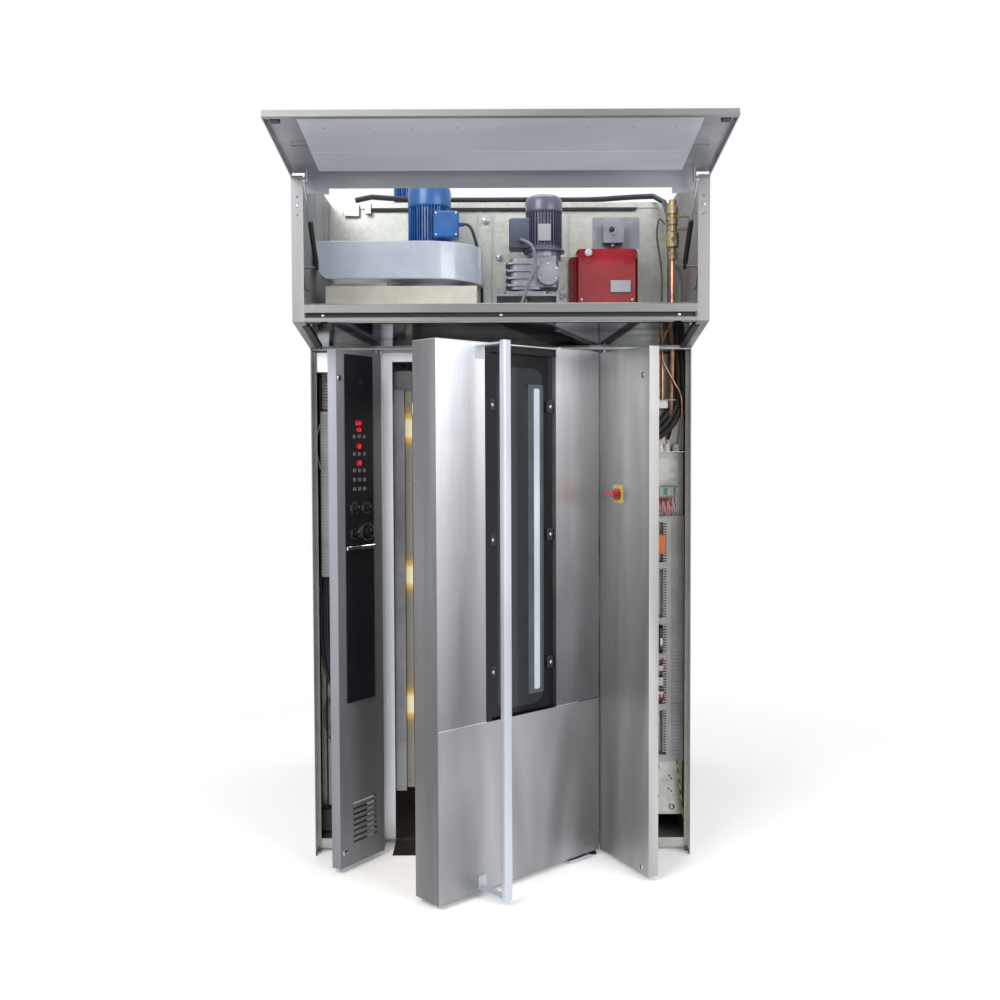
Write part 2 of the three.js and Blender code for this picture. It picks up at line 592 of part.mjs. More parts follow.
// ---- Rack drive ---------------------------------------------------------------------------------------
function gearBasePlate() {
  const plate = block(gearX - 125, gearX + 125, gearY - 95, gearY + 95, gearPlateTop - 8, gearPlateTop);
  const legs = [-1, 1].map((side) => block(gearX + side * 119 - 6, gearX + side * 119 + 6, gearY - 95,
    gearY + 95, roofTop + skin, gearPlateTop - 7));
  const hole = bar([gearX, gearY, gearPlateTop - 9], [gearX, gearY, gearPlateTop + 1], shaftRadius + 8, 20);
  const bolts = [[-1, -1], [1, -1], [-1, 1], [1, 1]].map(([sx, sy]) =>
    bar([gearX + sx * 106, gearY + sy * 78, gearPlateTop - 1],
      [gearX + sx * 106, gearY + sy * 78, gearPlateTop + 9], 9, 6));
  return join(cut(join(plate, legs), hole), bolts);
}

// Worm gear housing: ribbed cast body, round cover to the front, output boss below, motor flange above.
function gearUnit() {
  const z0 = gearPlateTop;
  const body = alongZ(roundedOutline(gearX - 62, gearX + 66, gearY - 62, gearY + 62, 26), z0 + 22,
    z0 + 140, 2);
  const ribs = spread(4, z0 + 34, z0 + 118).map((z) =>
    alongZ(roundedOutline(gearX - 78, gearX + 40, gearY - 70, gearY + 70, 30), z, z + 6, 1));
  const foot = alongZ(roundedOutline(gearX - 84, gearX + 84, gearY - 66, gearY + 66, 14), z0, z0 + 14, 2);
  const neck = bar([gearX, gearY, z0 + 13], [gearX, gearY, z0 + 23], 46, 16);
  const cover = bar([gearX + 84, gearY - 92, z0 + 78], [gearX + 84, gearY - 40, z0 + 78], 44, 16);
  const shoulder = alongZ(roundedOutline(gearX + 20, gearX + 124, gearY - 60, gearY + 56, 18), z0 + 30,
    z0 + 150, 2);
  const flange = bar([gearMotorX, gearY, z0 + 149], [gearMotorX, gearY, z0 + 168], 66, 16);
  const riser = bar([gearMotorX, gearY, z0 + 60], [gearMotorX, gearY, z0 + 150], 50, 12);
  const bore = bar([gearX, gearY, z0 - 1], [gearX, gearY, z0 + 60], shaftRadius + fit, 20);
  return cut(join(body, ribs, foot, neck, cover, shoulder, riser, flange), bore);
}

function gearMotorBody() {
  const base = gearPlateTop + 168.5;
  const body = motor(gearMotor, gearMotorX, gearY, base);
  const box = alongX(roundedOutline(gearY - 44, gearY + 44, base + 12, base + 132, 10),
    gearMotorX - gearMotor.radius - 58, gearMotorX - gearMotor.radius + 14);
  const glandX = gearMotorX - gearMotor.radius - 20;
  const gland = bar([glandX, gearY - 56, base + 40], [glandX, gearY - 40, base + 40], 8, 12);
  return join(body, box, gland);
}

function gearMotorCable() {
  const base = gearPlateTop + 168.5;
  const glandX = gearMotorX - gearMotor.radius - 20;
  return sweep([[glandX, gearY - 56.6, base + 40], [glandX, gearY - 76, base + 40],
    [glandX + 42, gearY - 112, base + 10], [glandX + 56, gearY - 122, base - 60],
    [glandX + 30, gearY - 122, base - 130], [glandX + 8, gearY - 118, base - 190],
    [glandX, gearY - 114, roofTop + skin + 3]], 6, 16);
}

function pulley(x, y, radius) {
  const crown = turned([[0, 0], [radius + 9, 0], [radius + 9, 2.5], [radius, 3.5],
    [radius, pulleyHeight - 3.5], [radius + 9, pulleyHeight - 2.5], [radius + 9, pulleyHeight],
    [0, pulleyHeight]], 24);
  return at(crown, x, y, pulleyBottom);
}

function drivePulley() {
  const shaft = bar([gearX, gearY, pulleyBottom + 2], [gearX, gearY, gearPlateTop + 56], shaftRadius, 16);
  return join(pulley(gearX, gearY, drivePulleyRadius), shaft);
}

function driveBelt() {
  const bottom = pulleyBottom + 5;
  const top = pulleyBottom + pulleyHeight - 5;
  return cut(alongZ(beltLoop(beltThick), bottom, top, 12), alongZ(beltLoop(1), bottom - 1, top + 1, 12));
}

// Spindle with its pulley and the cross arm whose hooks lift and turn the rack.
function rackCarrier() {
  const spindle = bar([rackX, rackY, chamberTop - 66], [rackX, rackY, pulleyBottom + 2], spindleRadius, 20);
  const armZ = chamberTop - 78;
  const arm = block(rackX - 290, rackX + 290, rackY - 16, rackY + 16, armZ, armZ + 14);
  const hub = bar([rackX, rackY, armZ - 4], [rackX, rackY, armZ + 34], 42, 20);
  const hookProfile = [[-18, 6], [-18, -34], [-6, -46], [22, -46], [30, -36], [30, -18], [22, -18], [20, -32],
    [0, -34], [-4, -28], [-4, 6]];
  const hooks = [-272, 272].map((x) => alongX(hookProfile.map(([y, z]) => [rackY + y, armZ + z]),
    rackX + x - 8, rackX + x + 8));
  return join(pulley(rackX, rackY, rackPulleyRadius), spindle, arm, hub, hooks);
}

// ---- Burner, gas line and small fittings --------------------------------------------------------------
function burnerCover() {
  const outline = roundedOutline(burner.left, burner.right, burner.bottom + 12, burner.top, 20);
  const back = burner.front + burnerCoverDepth;
  const shell = alongY(outline, burner.front, back, 3);
  const hollow = alongY(roundedOutline(burner.left + 4, burner.right - 4, burner.bottom + 16, burner.top - 4,
    16), burner.front + 4, back + 1, 3);
  const bevelled = [-1, 1].map((side) => alongZ([[side > 0 ? burner.right + 1 : burner.left - 1,
    burner.front - 1], [side > 0 ? burner.right - 12 : burner.left + 12, burner.front - 1],
  [side > 0 ? burner.right + 1 : burner.left - 1, burner.front + 12]], burner.bottom, burner.top + 1));
  const sight = bar([burner.left + 46, burner.front - 4, burner.top - 40],
    [burner.left + 46, burner.front + 2, burner.top - 40], 17, 20);
  return join(cut(shell, hollow, bevelled), sight);
}

function burnerBody() {
  const back = burner.front + burnerCoverDepth;
  const chassis = alongY(roundedOutline(burner.left - 22, burner.right - 10, burner.bottom,
    burner.top - 14, 12), back + fit, backPanelY - 12, 2);
  const stem = bar([burner.x, back - 60, burner.z], [burner.x, back + 4, burner.z], 70, 24);
  const flange = alongY(roundedOutline(burner.x - 95, burner.x + 95, burner.z - 95, burner.z + 95, 20),
    backPanelY - 13, backPanelY - fit, 2);
  const blastTube = bar([burner.x, backPanelY - 14, burner.z], [burner.x, casingFront + 150, burner.z],
    blastTubeRadius, 24);
  return join(chassis, stem, flange, blastTube);
}

function pressureSwitch() {
  const x = burner.x + 37;
  const z = burner.top + 82;
  const plate = alongY(roundedOutline(x - 80, x + 112, z - 56, z + 72, 8), backPanelY - 2.4,
    backPanelY - fit, 2);
  const box = alongY(roundedOutline(x - 41, x + 42, z - 42, z + 42, 5), backPanelY - 62, backPanelY - 2, 2);
  const cap = bar([x, backPanelY - 68, z], [x, backPanelY - 61, z], 12, 16);
  const fitting = bar([x, backPanelY - 34, z - 54], [x, backPanelY - 34, z - 40], 12, 12);
  return join(plate, box, cap, fitting);
}

const gasX = halfInside - 59;
const gasY = 60;
const gasPipeRadius = 9;
const gasValveBottom = roofTop + 165;
function gasValve() {
  const stack = turned([[0, 0], [12, 0], [16, 4], [16, 22], [13, 26], [13, 44], [24, 50], [24, 100],
    [15, 106], [15, 128], [19, 130], [19, 152], [15, 156], [15, 168], [20, 172], [20, 196], [14, 200],
    [14, 222], [0, 222]], 12);
  const union = at(stack, gasX, gasY, gasValveBottom);
  const elbow = bar([gasX, gasY, gasValveBottom + 214], [gasX, gasY + 60, gasValveBottom + 214], 12, 12);
  const spindle = bar([gasX, gasY - 30, gasValveBottom + 75], [gasX, gasY, gasValveBottom + 75], 9, 10);
  const clamps = [112, 160].map((z) =>
    block(gasX + 5, halfInside - fit, gasY - 6, gasY + 6, gasValveBottom + z, gasValveBottom + z + 8));
  return join(union, elbow, spindle, clamps);
}

function gasPipe() {
  const route = [[gasX, gasY, gasValveBottom - fit], [gasX, gasY, roofTop + 100], [gasX, gasY, roofTop - 50],
    [gasX, gasY + 1, chamberTop], [gasX - 4, gasY + 2, chamberTop - 130],
    [gasX - 4, gasY + 20, chamberTop - 250], [gasX - 4, wallFront - 14, chamberTop - 290],
    [gasX - 4, wallFront - fit, chamberTop - 291]];
  return sweep(route, gasPipeRadius, 14);
}

const gasHole = () => bar([gasX, gasY, headerBottom - 9], [gasX, gasY, roofTop + 9], gasPipeRadius + 3, 12);

function cableBundle() {
  const y = backPanelY - 3;
  const z = backPanelTop + 12.6;
  const left = 105 - halfInside;
  const right = halfInside - 21;
  return sweep([[left, y, z], [left + 72, y, z + 14], [left + 162, y, z + 6], [-200, y, z], [100, y, z],
    [right - 296, y, z], [right - 116, y - 2, z + 10], [right - 36, y - 30, z + 2],
    [right - 8, y - 90, z - 60], [right - 2, y - 120, z - 200], [right, y - 122, roofTop + skin + fit]],
  11, 26);
}

// ---- Inside the chamber -------------------------------------------------------------------------------
const lampZ = [470, 975, 1545];
function lampColumn() {
  const left = mouthLeft + 40;
  const [z0, z1] = [197, chamberTop - 105];
  const box = block(left, left + 28, chamberFront + 8, chamberFront + 36, z0, z1);
  const web = block(mouthLeft + fit, left + 1, chamberFront - 40, chamberFront - 37, z0, z1);
  const turn = block(left - 2, left + 1, chamberFront - 40, chamberFront + 12, z0, z1);
  const windows = lampZ.map((z) =>
    block(left + 4, left + 29, chamberFront + 4, chamberFront + 26, z, z + 110));
  return join(cut(box, windows), web, turn);
}

function airPanel() {
  const x0 = rackX - 330;
  const x1 = rackX + 330;
  const face = chamberBack - 34;
  const tray = alongZ(foldedOutline([[x0, chamberBack - fit], [x0, face], [x1, face],
    [x1, chamberBack - fit]], -2), 120, chamberTop - 60);
  const slots = spread(16, 220, chamberTop - 160).map((z) =>
    block(x0 + 60, x1 - 60, face - 5, face + 5, z, z + 12));
  return cut(tray, slots);
}

// ---- Electrical cabinet -------------------------------------------------------------------------------
const ductRows = [1253, 1077, 865, 731, 537, 342];
const plateFront = wallFront - 8;
const cabinetLeft = switchPivotX + 15;
const cabinetRight = halfInside - 5;
const ductColumn = cabinetRight - 52;
function enclosurePlate() {
  const tray = alongX(foldedOutline([[wallFront - fit, 1507], [plateFront, 1507], [plateFront, 111],
    [wallFront - fit, 111]], 2), cabinetLeft - 6, cabinetRight);
  const ledge = block(cabinetLeft - 6, cabinetRight, baseSetback + 2, plateFront + 1, 1505, 1507);
  const glands = [74, 104, 134, 164, 224, 256].map((x) =>
    bar([cabinetLeft + x, 84, 1506], [cabinetLeft + x, 84, 1532], 10, 12));
  return join(tray, ledge, glands);
}

function wiringDucts() {
  const back = plateFront;
  const rows = ductRows.map((z) => block(cabinetLeft, ductColumn + 1, back - 50, back, z - 12, z + 12));
  const column = block(ductColumn, cabinetRight - 4, back - 50, back, ductRows[5] - 12, ductRows[0] + 12);
  return join(column, rows);
}

function deviceRow(bottom, height, deep, widths) {
  const back = plateFront;
  const middle = bottom + height / 2;
  const rail = block(cabinetLeft + 2, ductColumn - 4, back - 8, back, middle - 17, middle + 17);
  let x = cabinetLeft + 6;
  const devices = widths.map((wide, i) => {
    const step = i % 3 === 0 ? 6 : 0;
    const body = block(x, x + wide - 1, back - deep, back - 5, bottom + step, bottom + height - step);
    const nose = block(x + 2, x + wide - 3, back - deep - 12, back - deep + 1, bottom + height * 0.3,
      bottom + height * 0.7);
    x += wide;
    return join(body, nose);
  });
  return join(rail, devices);
}

// ---- Main door, drawn shut about its pivot ------------------------------------------------------------
const door = swinging(doorPivotX, doorPivotY, 0, 0, doorOpen);
const doorFace = -doorPivotY;
const doorBack = doorFace + doorThick;
const windowNear = -windowFromPivot;
const windowFar = windowNear - windowWidth;
const windowTop = doorTopHeight - windowHead;
const innerPanThick = 3.5;

function windowBlock(grow, y0, y1) {
  return block(windowFar - grow, windowNear + grow, y0, y1, windowBottom - grow, windowTop + grow);
}

function pinHoles(radius, from, to) {
  return bar([0, 0, from], [0, 0, to], radius, 20);
}

function doorShell() {
  const back = doorBack - innerPanThick - fit;
  const body = block(-doorReach, doorHeel, doorFace, back, doorBottom, doorTopHeight);
  const hollow = block(-doorReach + doorSkin, doorHeel - doorSkin, doorFace + doorSkin, back + 1,
    doorBottom + doorSkin, doorTopHeight - doorSkin);
  const reveal = cut(windowBlock(skin, doorFace, back), windowBlock(0, doorFace - 1, back + 1));
  const seam = block(-doorReach - 1, doorHeel + 1, doorFace - 1, doorFace + 1.5, windowBottom - skin - 2,
    windowBottom - skin);
  const shell = join(cut(body, hollow, windowBlock(0, doorFace - 1, back)), reveal);
  return cut(shell, seam, pinHoles(doorPinRadius + fit, 0, doorTopHeight + 9));
}

function doorInnerPan() {
  const sheet = block(-doorReach, doorHeel, doorBack - innerPanThick, doorBack, doorBottom, doorTopHeight);
  const field = block(-doorReach + 70, windowFar - 60, doorBack - 1, doorBack + 3, doorBottom + 120,
    doorTopHeight - 120);
  return cut(join(sheet, field), windowBlock(0, 0, doorBack + 9));
}

function doorGasket() {
  const y0 = doorBack + fit;
  const outer = block(-doorReach + 6, doorHeel - 16, y0, y0 + 4, doorBottom + 6, doorTopHeight - 6);
  const inner = block(-doorReach + 20, doorHeel - 30, y0 - 1, y0 + 5, doorBottom + 20, doorTopHeight - 20);
  return cut(outer, inner);
}

const doorGlass = (y) => windowBlock(-fit, y, y + glassThick);

function doorHandle() {
  const outer = doorFace - handleStandoff;
  const section = roundedOutline(-handleFromPivot - handleWide / 2, -handleFromPivot + handleWide / 2, outer,
    outer + handleDeep, 6);
  const grip = alongZ(section, doorBottom + 4, doorTopHeight - 4, 2);
  const plates = [doorBottom + 10, doorTopHeight - 16].map((z) =>
    block(-handleFromPivot - 22, -handleFromPivot + 14, outer + handleDeep - 3, doorFace - fit, z, z + 6));
  const feet = [doorBottom + 10, doorTopHeight - 56].map((z) =>
    block(-handleFromPivot - 22, -handleFromPivot + 14, doorFace - fit - 5, doorFace - fit, z, z + 46));
  return join(grip, plates, feet);
}

function hingeStrap() {
  const armOutline = new THREE.Shape();
  armOutline.absarc(0, 2, 13, -Math.PI / 2, Math.PI / 2);
  armOutline.absarc(-176, 2, 13, Math.PI / 2, 1.5 * Math.PI);
  const arms = [doorBottom - strapThick - fit, doorTopHeight + fit].map((z) =>
    alongZ(armOutline, z, z + strapThick, 3));
  const back = block(doorHeel + fit, doorHeel + fit + 3, -8, 12, doorBottom - strapThick - fit,
    doorTopHeight + fit + strapThick);
  return cut(join(back, arms), pinHoles(doorPinRadius + fit, 0, doorTopHeight + 20));
}

// ---- Cabinet panels, drawn shut about their pivots ----------------------------------------------------
function cabinetPanel(edgeX, farX) {
  const [x0, x1] = [Math.min(edgeX, farX), Math.max(edgeX, farX)];
  const y0 = -panelPivotDepth;
  const body = block(x0, x1, y0, y0 + panelThick, panelBottom, panelTop);
  const hollow = block(x0 + 2, x1 - 2, y0 + 2, y0 + panelThick - 2, panelBottom + 2, panelTop - 2);
  const mouth = block(x0 + 16, x1 - 16, y0 + 9, y0 + panelThick + 1, panelBottom + 30, panelTop - 30);
  return cut(body, hollow, mouth, pinHoles(pintleRadius + fit, 0, panelTop + 9));
}

const controlPanelGroup = swinging(controlPivotX, panelPivotDepth, 0, 0, controlPanelOpen);
const switchPanelGroup = swinging(switchPivotX, panelPivotDepth, 0, 0, -switchPanelOpen);
const panelFace = -panelPivotDepth;
const fasciaThick = 3;
const louvre = { left: -165, right: -28, bottom: 95, pitch: 20, count: 8, slot: 7 };
const fascia = { left: -194, right: -43, bottom: 609, split: 1165, top: 1855 };

function controlPanel() {
  const tray = cabinetPanel(panelEdge, panelEdge - controlPanelWidth);
  const louvreTop = louvre.bottom + louvre.pitch * (louvre.count - 1);
  const slots = spread(louvre.count, louvre.bottom, louvreTop).map((z) =>
    block(louvre.left, louvre.right, panelFace - 1, panelFace + 3, z, z + louvre.slot));
  return cut(tray, slots);
}

const knobs = [
  { name: 'steam_selector_knob', x: -147, z: 1306, radius: 15, height: 18 },
  { name: 'mode_selector_knob', x: -85, z: 1306, radius: 15, height: 18 },
  { name: 'light_knob', x: -147, z: 1216, radius: 11, height: 14 },
  { name: 'timer_dial', x: -85, z: 1220, radius: 25, height: 20 },
];
const knobStem = 4;

function controlFascia() {
  const y0 = panelFace - fit - fasciaThick;
  const lower = alongY(roundedOutline(fascia.left, fascia.right, fascia.bottom, fascia.split, 6), y0,
    y0 + fasciaThick, 2);
  const upper = alongY(roundedOutline(fascia.left, fascia.right, fascia.split - 8, fascia.top, 6), y0,
    y0 + fasciaThick, 2);
  const lip = block(fascia.left, fascia.right, y0 - 5, y0 + 1, fascia.split - 4, fascia.split + 3);
  const holes = knobs.map(({ x, z }) => bar([x, y0 - 1, z], [x, y0 + fasciaThick + 1, z], knobStem + fit, 12));
  return cut(join(lower, upper, lip), holes);
}

function knobSolid({ x, z, radius, height }) {
  const face = panelFace - fit - fasciaThick - fit;
  const skirt = bar([x, face - 5, z], [x, face, z], radius, 20);
  const grip = bar([x, face - height, z], [x, face - 4, z], radius * 0.72, 16);
  const pointer = block(x - radius * 0.2, x + radius * 0.2, face - height - 3, face - 4, z - radius * 0.68,
    z + radius * 0.9);
  const stem = bar([x, face - 1, z], [x, panelFace - fit, z], knobStem, 12);
  return join(skirt, grip, pointer, stem);
}

const mainSwitch = { x: 121, z: 1354, plate: 65, radius: 21 };
function mainSwitchPlate() {
  const half = mainSwitch.plate / 2;
  const y0 = panelFace - fit - 3;
  const plate = alongY(roundedOutline(mainSwitch.x - half, mainSwitch.x + half, mainSwitch.z - half,
    mainSwitch.z + half, 5), y0, y0 + 3, 2);
  return cut(plate, bar([mainSwitch.x, y0 - 1, mainSwitch.z], [mainSwitch.x, y0 + 4, mainSwitch.z],
    knobStem + fit, 12));
}

function mainSwitchKnob() {
  const { x, z, radius } = mainSwitch;
  const face = panelFace - fit - 3 - fit;
  const collar = bar([x, face - 9, z], [x, face, z], radius, 24);
  const handle = alongY(roundedOutline(x - 46, x + 14, z - 9, z + 9, 8), face - 28, face - 8, 2);
  const stem = bar([x, face - 1, z], [x, panelFace - fit, z], knobStem, 12);
  return join(collar, handle, stem);
}

// ---- Flap and gas struts ------------------------------------------------------------------------------
const flapPivot = { y: -hoodReach - 2, z: hoodTop + 2 };
const flapGroup = swinging(0, flapPivot.y, flapPivot.z, -flapOpen, 0);
const openAngle = THREE.MathUtils.degToRad(flapOpen);
// Ball stud in the flap's own frame, drawn shut.
const ball = {
  y: strutBallBack * Math.cos(openAngle) - strutBallDrop * Math.sin(openAngle),
  z: strutBallBack * Math.sin(openAngle) + strutBallDrop * Math.cos(openAngle),
};
const strutLine = strutX - 14;
const eyeHalf = 5;

function flap() {
  const front = -flapDepth - 1;
  const half = bodyWidth / 2;
  const top = 11;
  const sheet = block(-half, half, front, front + skin, -flapLength, top);
  const lips = [-1, 1].map((side) =>
    block(side * half - (side > 0 ? skin : 0), side * half + (side > 0 ? 0 : skin), front, -1,
      -flapLength, top));
  const bottomLip = alongX([[front, -flapLength], [-1, -flapLength], [-1, -flapLength + 16],
    [-1 - skin, -flapLength + 16], [-1 - skin, -flapLength + skin], [front, -flapLength + skin]],
  -half, half);
  const inner = postInner - 5;
  const rear = block(-inner, inner, front, flapRearFlange, top - skin, top);
  const tabs = [-1, 1].map((side) => block(Math.min(side * inner, side * (inner - flapTabWidth)),
    Math.max(side * inner, side * (inner - flapTabWidth)), flapRearFlange - 1, flapTabDepth, top - skin, top));
  const folds = [-215, -40, -425].map((z) =>
    block(-half + 40, half - 40, front + skin - 1, front + skin + 3, z, z + 8));
  const brackets = [-1, 1].map((side) => {
    const plate = alongX([[front + 1, ball.z - 16], [ball.y + 9, ball.z - 9], [ball.y + 9, ball.z + 9],
      [front + 1, ball.z + 16]], strutLine - eyeHalf - 7, strutLine - eyeHalf - 4);
    const stud = bar([strutLine - eyeHalf - 5, ball.y, ball.z],
      [strutLine - eyeHalf - fit, ball.y, ball.z], 5);
    const both = join(plate, stud);
    return side > 0 ? both : mirrored(both);
  });
  const pinHole = bar([-half - 1, 0, 0], [half + 1, 0, 0], 4 + fit);
  return cut(join(sheet, lips, bottomLip, rear, tabs, folds, brackets), pinHole);
}

// Strut drawn in the side plane from its foot, reaching towards the flap's ball stud.
const strutTop = { y: flapPivot.y + strutBallBack, z: flapPivot.z + strutBallDrop };
const strutRun = Math.hypot(strutTop.y - strutFootY, strutTop.z - strutFootZ);
const alongStrut = (distance) => [strutLine,
  strutFootY + ((strutTop.y - strutFootY) * distance) / strutRun,
  strutFootZ + ((strutTop.z - strutFootZ) * distance) / strutRun];

function strutTube(side) {
  const barrel = bar(alongStrut(14), alongStrut(strutTubeLength), strutTubeRadius, 16);
  const bore = bar(alongStrut(24), alongStrut(strutTubeLength + 1), strutRodRadius + fit, 12);
  const [, y, z] = alongStrut(0);
  const neck = bar(alongStrut(4), alongStrut(16), 5, 10);
  const eye = bar([strutLine - eyeHalf, y, z], [strutLine + eyeHalf, y, z], 10, 16);
  const hole = bar([strutLine - 9, y, z], [strutLine + 9, y, z], 4 + fit, 16);
  const tube = cut(join(barrel, neck, eye), bore, hole);
  return side > 0 ? tube : mirrored(tube);
}

function strutRod(side) {
  const rod = bar(alongStrut(110), alongStrut(strutRun), strutRodRadius, 12);
  const [, y, z] = alongStrut(strutRun);
  const eye = bar([strutLine - eyeHalf, y, z], [strutLine + eyeHalf, y, z], 8, 16);
  const whole = join(rod, eye);
  return side > 0 ? whole : mirrored(whole);
}

// ---- Assembly -----------------------------------------------------------------------------------------
piece('base_frame', baseFrame(), galvanised);
piece('chamber_floor', chamberFloor(), darkSteel);
piece('chamber_walls', chamberWalls(), darkSteel);
piece('chamber_ceiling', chamberCeiling(), darkSteel);
piece('roof_deck', cut(roofDeck(), gasHole()), galvanised);
piece('door_frame', doorFrame(), brushedSteel);
piece('front_header', cut(frontHeader(), gasHole()), brushedSteel);
piece('left_side_panel', sidePanel(), brushedSteel);
piece('right_side_panel', mirrored(sidePanel()), brushedSteel);
piece('rear_panel', rearPanel(), galvanised);
piece('hood_front_rails', frontRails(), brushedSteel);
piece('hood_underside', hoodUnderside(), mirrorSteel);
piece('exchanger_casing', join(exchangerCasing(), flueCollar()), galvanised);
piece('compartment_back_panel', compartmentBackPanel(), galvanised);

piece('fan_plinth', fanPlinth(), creamPaint);
piece('fan_volute', fanVolute(), greyPaint);
piece('fan_wheel', fanWheel(), galvanised);
piece('fan_motor', fanMotorBody(), bluePaint);
piece('steam_fan_motor', steamFanMotor(), bluePaint);

piece('gear_unit', join(gearUnit(), gearBasePlate()), castAluminium);
piece('gear_motor', gearMotorBody(), slatePaint);
piece('gear_motor_cable', gearMotorCable(), rubber);
piece('drive_pulley', drivePulley(), castAluminium);
piece('drive_belt', driveBelt(), rubber);
piece('rack_carrier', rackCarrier(), darkSteel);

piece('burner_cover', burnerCover(), redCover);
piece('burner_body', burnerBody(), redCover);
piece('pressure_switch', pressureSwitch(), castAluminium);
piece('gas_valve', gasValve(), brass);
piece('gas_pipe', gasPipe(), copper);
piece('cable_bundle', cableBundle(), rubber);

piece('lamp_column', lampColumn(), brushedSteel);
piece('air_panel', airPanel(), darkSteel);
piece('enclosure_plate', enclosurePlate(), galvanised);
piece('wiring_ducts', wiringDucts(), creamPaint);
piece('terminal_row', deviceRow(1300, 70, 46, [24, 24, 24, 24, 24, 24, 24]),
  creamPaint);
piece('relay_row', deviceRow(1115, 90, 58, [46, 46, 46, 46]), rubber);
piece('breaker_row', deviceRow(755, 86, 62, [36, 36, 54, 54]), creamPaint);
piece('contactor_row', deviceRow(580, 110, 74, [46, 46, 46, 46]), blackPlastic);

piece('door_shell', doorShell(), brushedSteel, door);
piece('door_inner_pan', doorInnerPan(), brushedSteel, door);
piece('door_gasket', doorGasket(), rubber, door);
piece('door_outer_glass', doorGlass(doorFace + 20), glass, door);
piece('door_inner_glass', doorGlass(doorBack - 16), glass, door);
piece('door_handle', doorHandle(), brushedSteel, door);
piece('door_hinge_strap', hingeStrap(), galvanised, door);

piece('control_panel', controlPanel(), brushedSteel, controlPanelGroup);
piece('control_fascia', controlFascia(), blackPlastic, controlPanelGroup);
knobs.forEach((knob) => piece(knob.name, knobSolid(knob), blackPlastic, controlPanelGroup));
piece('switch_panel', cabinetPanel(-panelEdge, switchPanelWidth - panelEdge), brushedSteel, switchPanelGroup);
piece('main_switch_plate', mainSwitchPlate(), finish(0xc8b860, 0.5, 0), switchPanelGroup);
piece('main_switch_knob', mainSwitchKnob(), redCover, switchPanelGroup);

piece('flap', flap(), brushedSteel, flapGroup);
[['left', -1], ['right', 1]].forEach(([name, side]) => {
  piece(`${name}_strut_tube`, strutTube(side), blackPlastic);
  piece(`${name}_strut_rod`, strutRod(side), brushedSteel);
});

export default oven;
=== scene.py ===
import bpy
import numpy as np
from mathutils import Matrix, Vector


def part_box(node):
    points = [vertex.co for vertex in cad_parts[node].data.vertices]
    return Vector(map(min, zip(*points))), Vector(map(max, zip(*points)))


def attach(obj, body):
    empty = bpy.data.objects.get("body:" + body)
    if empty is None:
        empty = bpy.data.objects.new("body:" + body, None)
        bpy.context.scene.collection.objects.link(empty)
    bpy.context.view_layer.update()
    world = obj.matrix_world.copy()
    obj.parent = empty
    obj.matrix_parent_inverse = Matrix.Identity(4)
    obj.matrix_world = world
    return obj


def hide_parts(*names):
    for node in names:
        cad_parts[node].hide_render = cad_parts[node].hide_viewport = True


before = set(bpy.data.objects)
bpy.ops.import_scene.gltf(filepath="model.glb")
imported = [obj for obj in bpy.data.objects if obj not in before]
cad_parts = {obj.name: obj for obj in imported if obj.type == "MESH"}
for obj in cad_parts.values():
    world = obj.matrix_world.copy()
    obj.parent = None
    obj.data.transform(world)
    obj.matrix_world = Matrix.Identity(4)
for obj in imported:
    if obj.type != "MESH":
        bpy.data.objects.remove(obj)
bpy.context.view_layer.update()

# ---- Camera ----
# A long-lens view from eye height, four metres in front of the oven and square to it. Places in this
# script are given in millimetres: X to the right, Y back from the oven's front plane, Z up.
FRONT = 0.675  # the front plane stands this far in front of the frame's origin, in metres


def metres(points):
    """Millimetres from the front plane to metres in the frame."""
    return np.asarray(points, float) / 1000 - [0, FRONT, 0]


def link(name, data):
    """A new object of the scene, at the origin and unturned."""
    made = bpy.data.objects.new(name, data)
    bpy.context.scene.collection.objects.link(made)
    return made


sensor = 36
focal_share = 1.106  # focal length over the picture's width
camera = link("camera", bpy.data.cameras.new("camera"))
camera.data.sensor_width = sensor
camera.data.lens = sensor * focal_share
camera.location = metres([-5, -4080, 1496])
camera.rotation_mode = "XYZ"
camera.rotation_euler = np.radians([90 - 2.33, 0.21, 0])
bpy.context.scene.camera = camera
bpy.context.scene.view_settings.view_transform = "Standard"


# ---- Floor, world and lamps ----
# A pale studio: white walls that metal and glass mirror, two large soft lamps from above and in front,
# one overhead, and a floor that keeps a soft shadow under the oven.
def linear(code):
    """An sRGB hex colour as linear RGBA."""
    srgb = np.array([(code >> shift & 255) / 255 for shift in (16, 8, 0)])
    value = np.where(srgb <= 0.04045, srgb / 12.92, ((srgb + 0.055) / 1.055) ** 2.4)
    return (*value, 1.0)


def add(tree, kind, inputs=None, **settings):
    """Adds one node. Settings are its properties, inputs its sockets' values or the sockets that feed it."""
    made = tree.nodes.new(kind)
    for key, value in settings.items():
        setattr(made, key, value)
    for key, value in (inputs or {}).items():
        if isinstance(value, bpy.types.NodeSocket):
            tree.links.new(value, made.inputs[key])
        else:
            made.inputs[key].default_value = value
    return made


def maths(tree, operation, *terms, **settings):
    """One operation on up to three terms."""
    return add(tree, "ShaderNodeMath", dict(enumerate(terms)), operation=operation, **settings).outputs[0]


def ranged(tree, value, low, high, start=0.0, end=1.0, **settings):
    """A value that runs from start to end, mapped to low to high."""
    return add(tree, "ShaderNodeMapRange", {"Value": value, "From Min": start, "From Max": end, "To Min": low,
                                            "To Max": high}, **settings).outputs[0]


def seen_directly(tree):
    """1 for the camera's own rays and for those that metal and glass send on."""
    path = add(tree, "ShaderNodeLightPath").outputs
    first = maths(tree, "MAXIMUM", path["Is Camera Ray"], path["Is Glossy Ray"])
    return maths(tree, "MAXIMUM", first, path["Is Transmission Ray"])


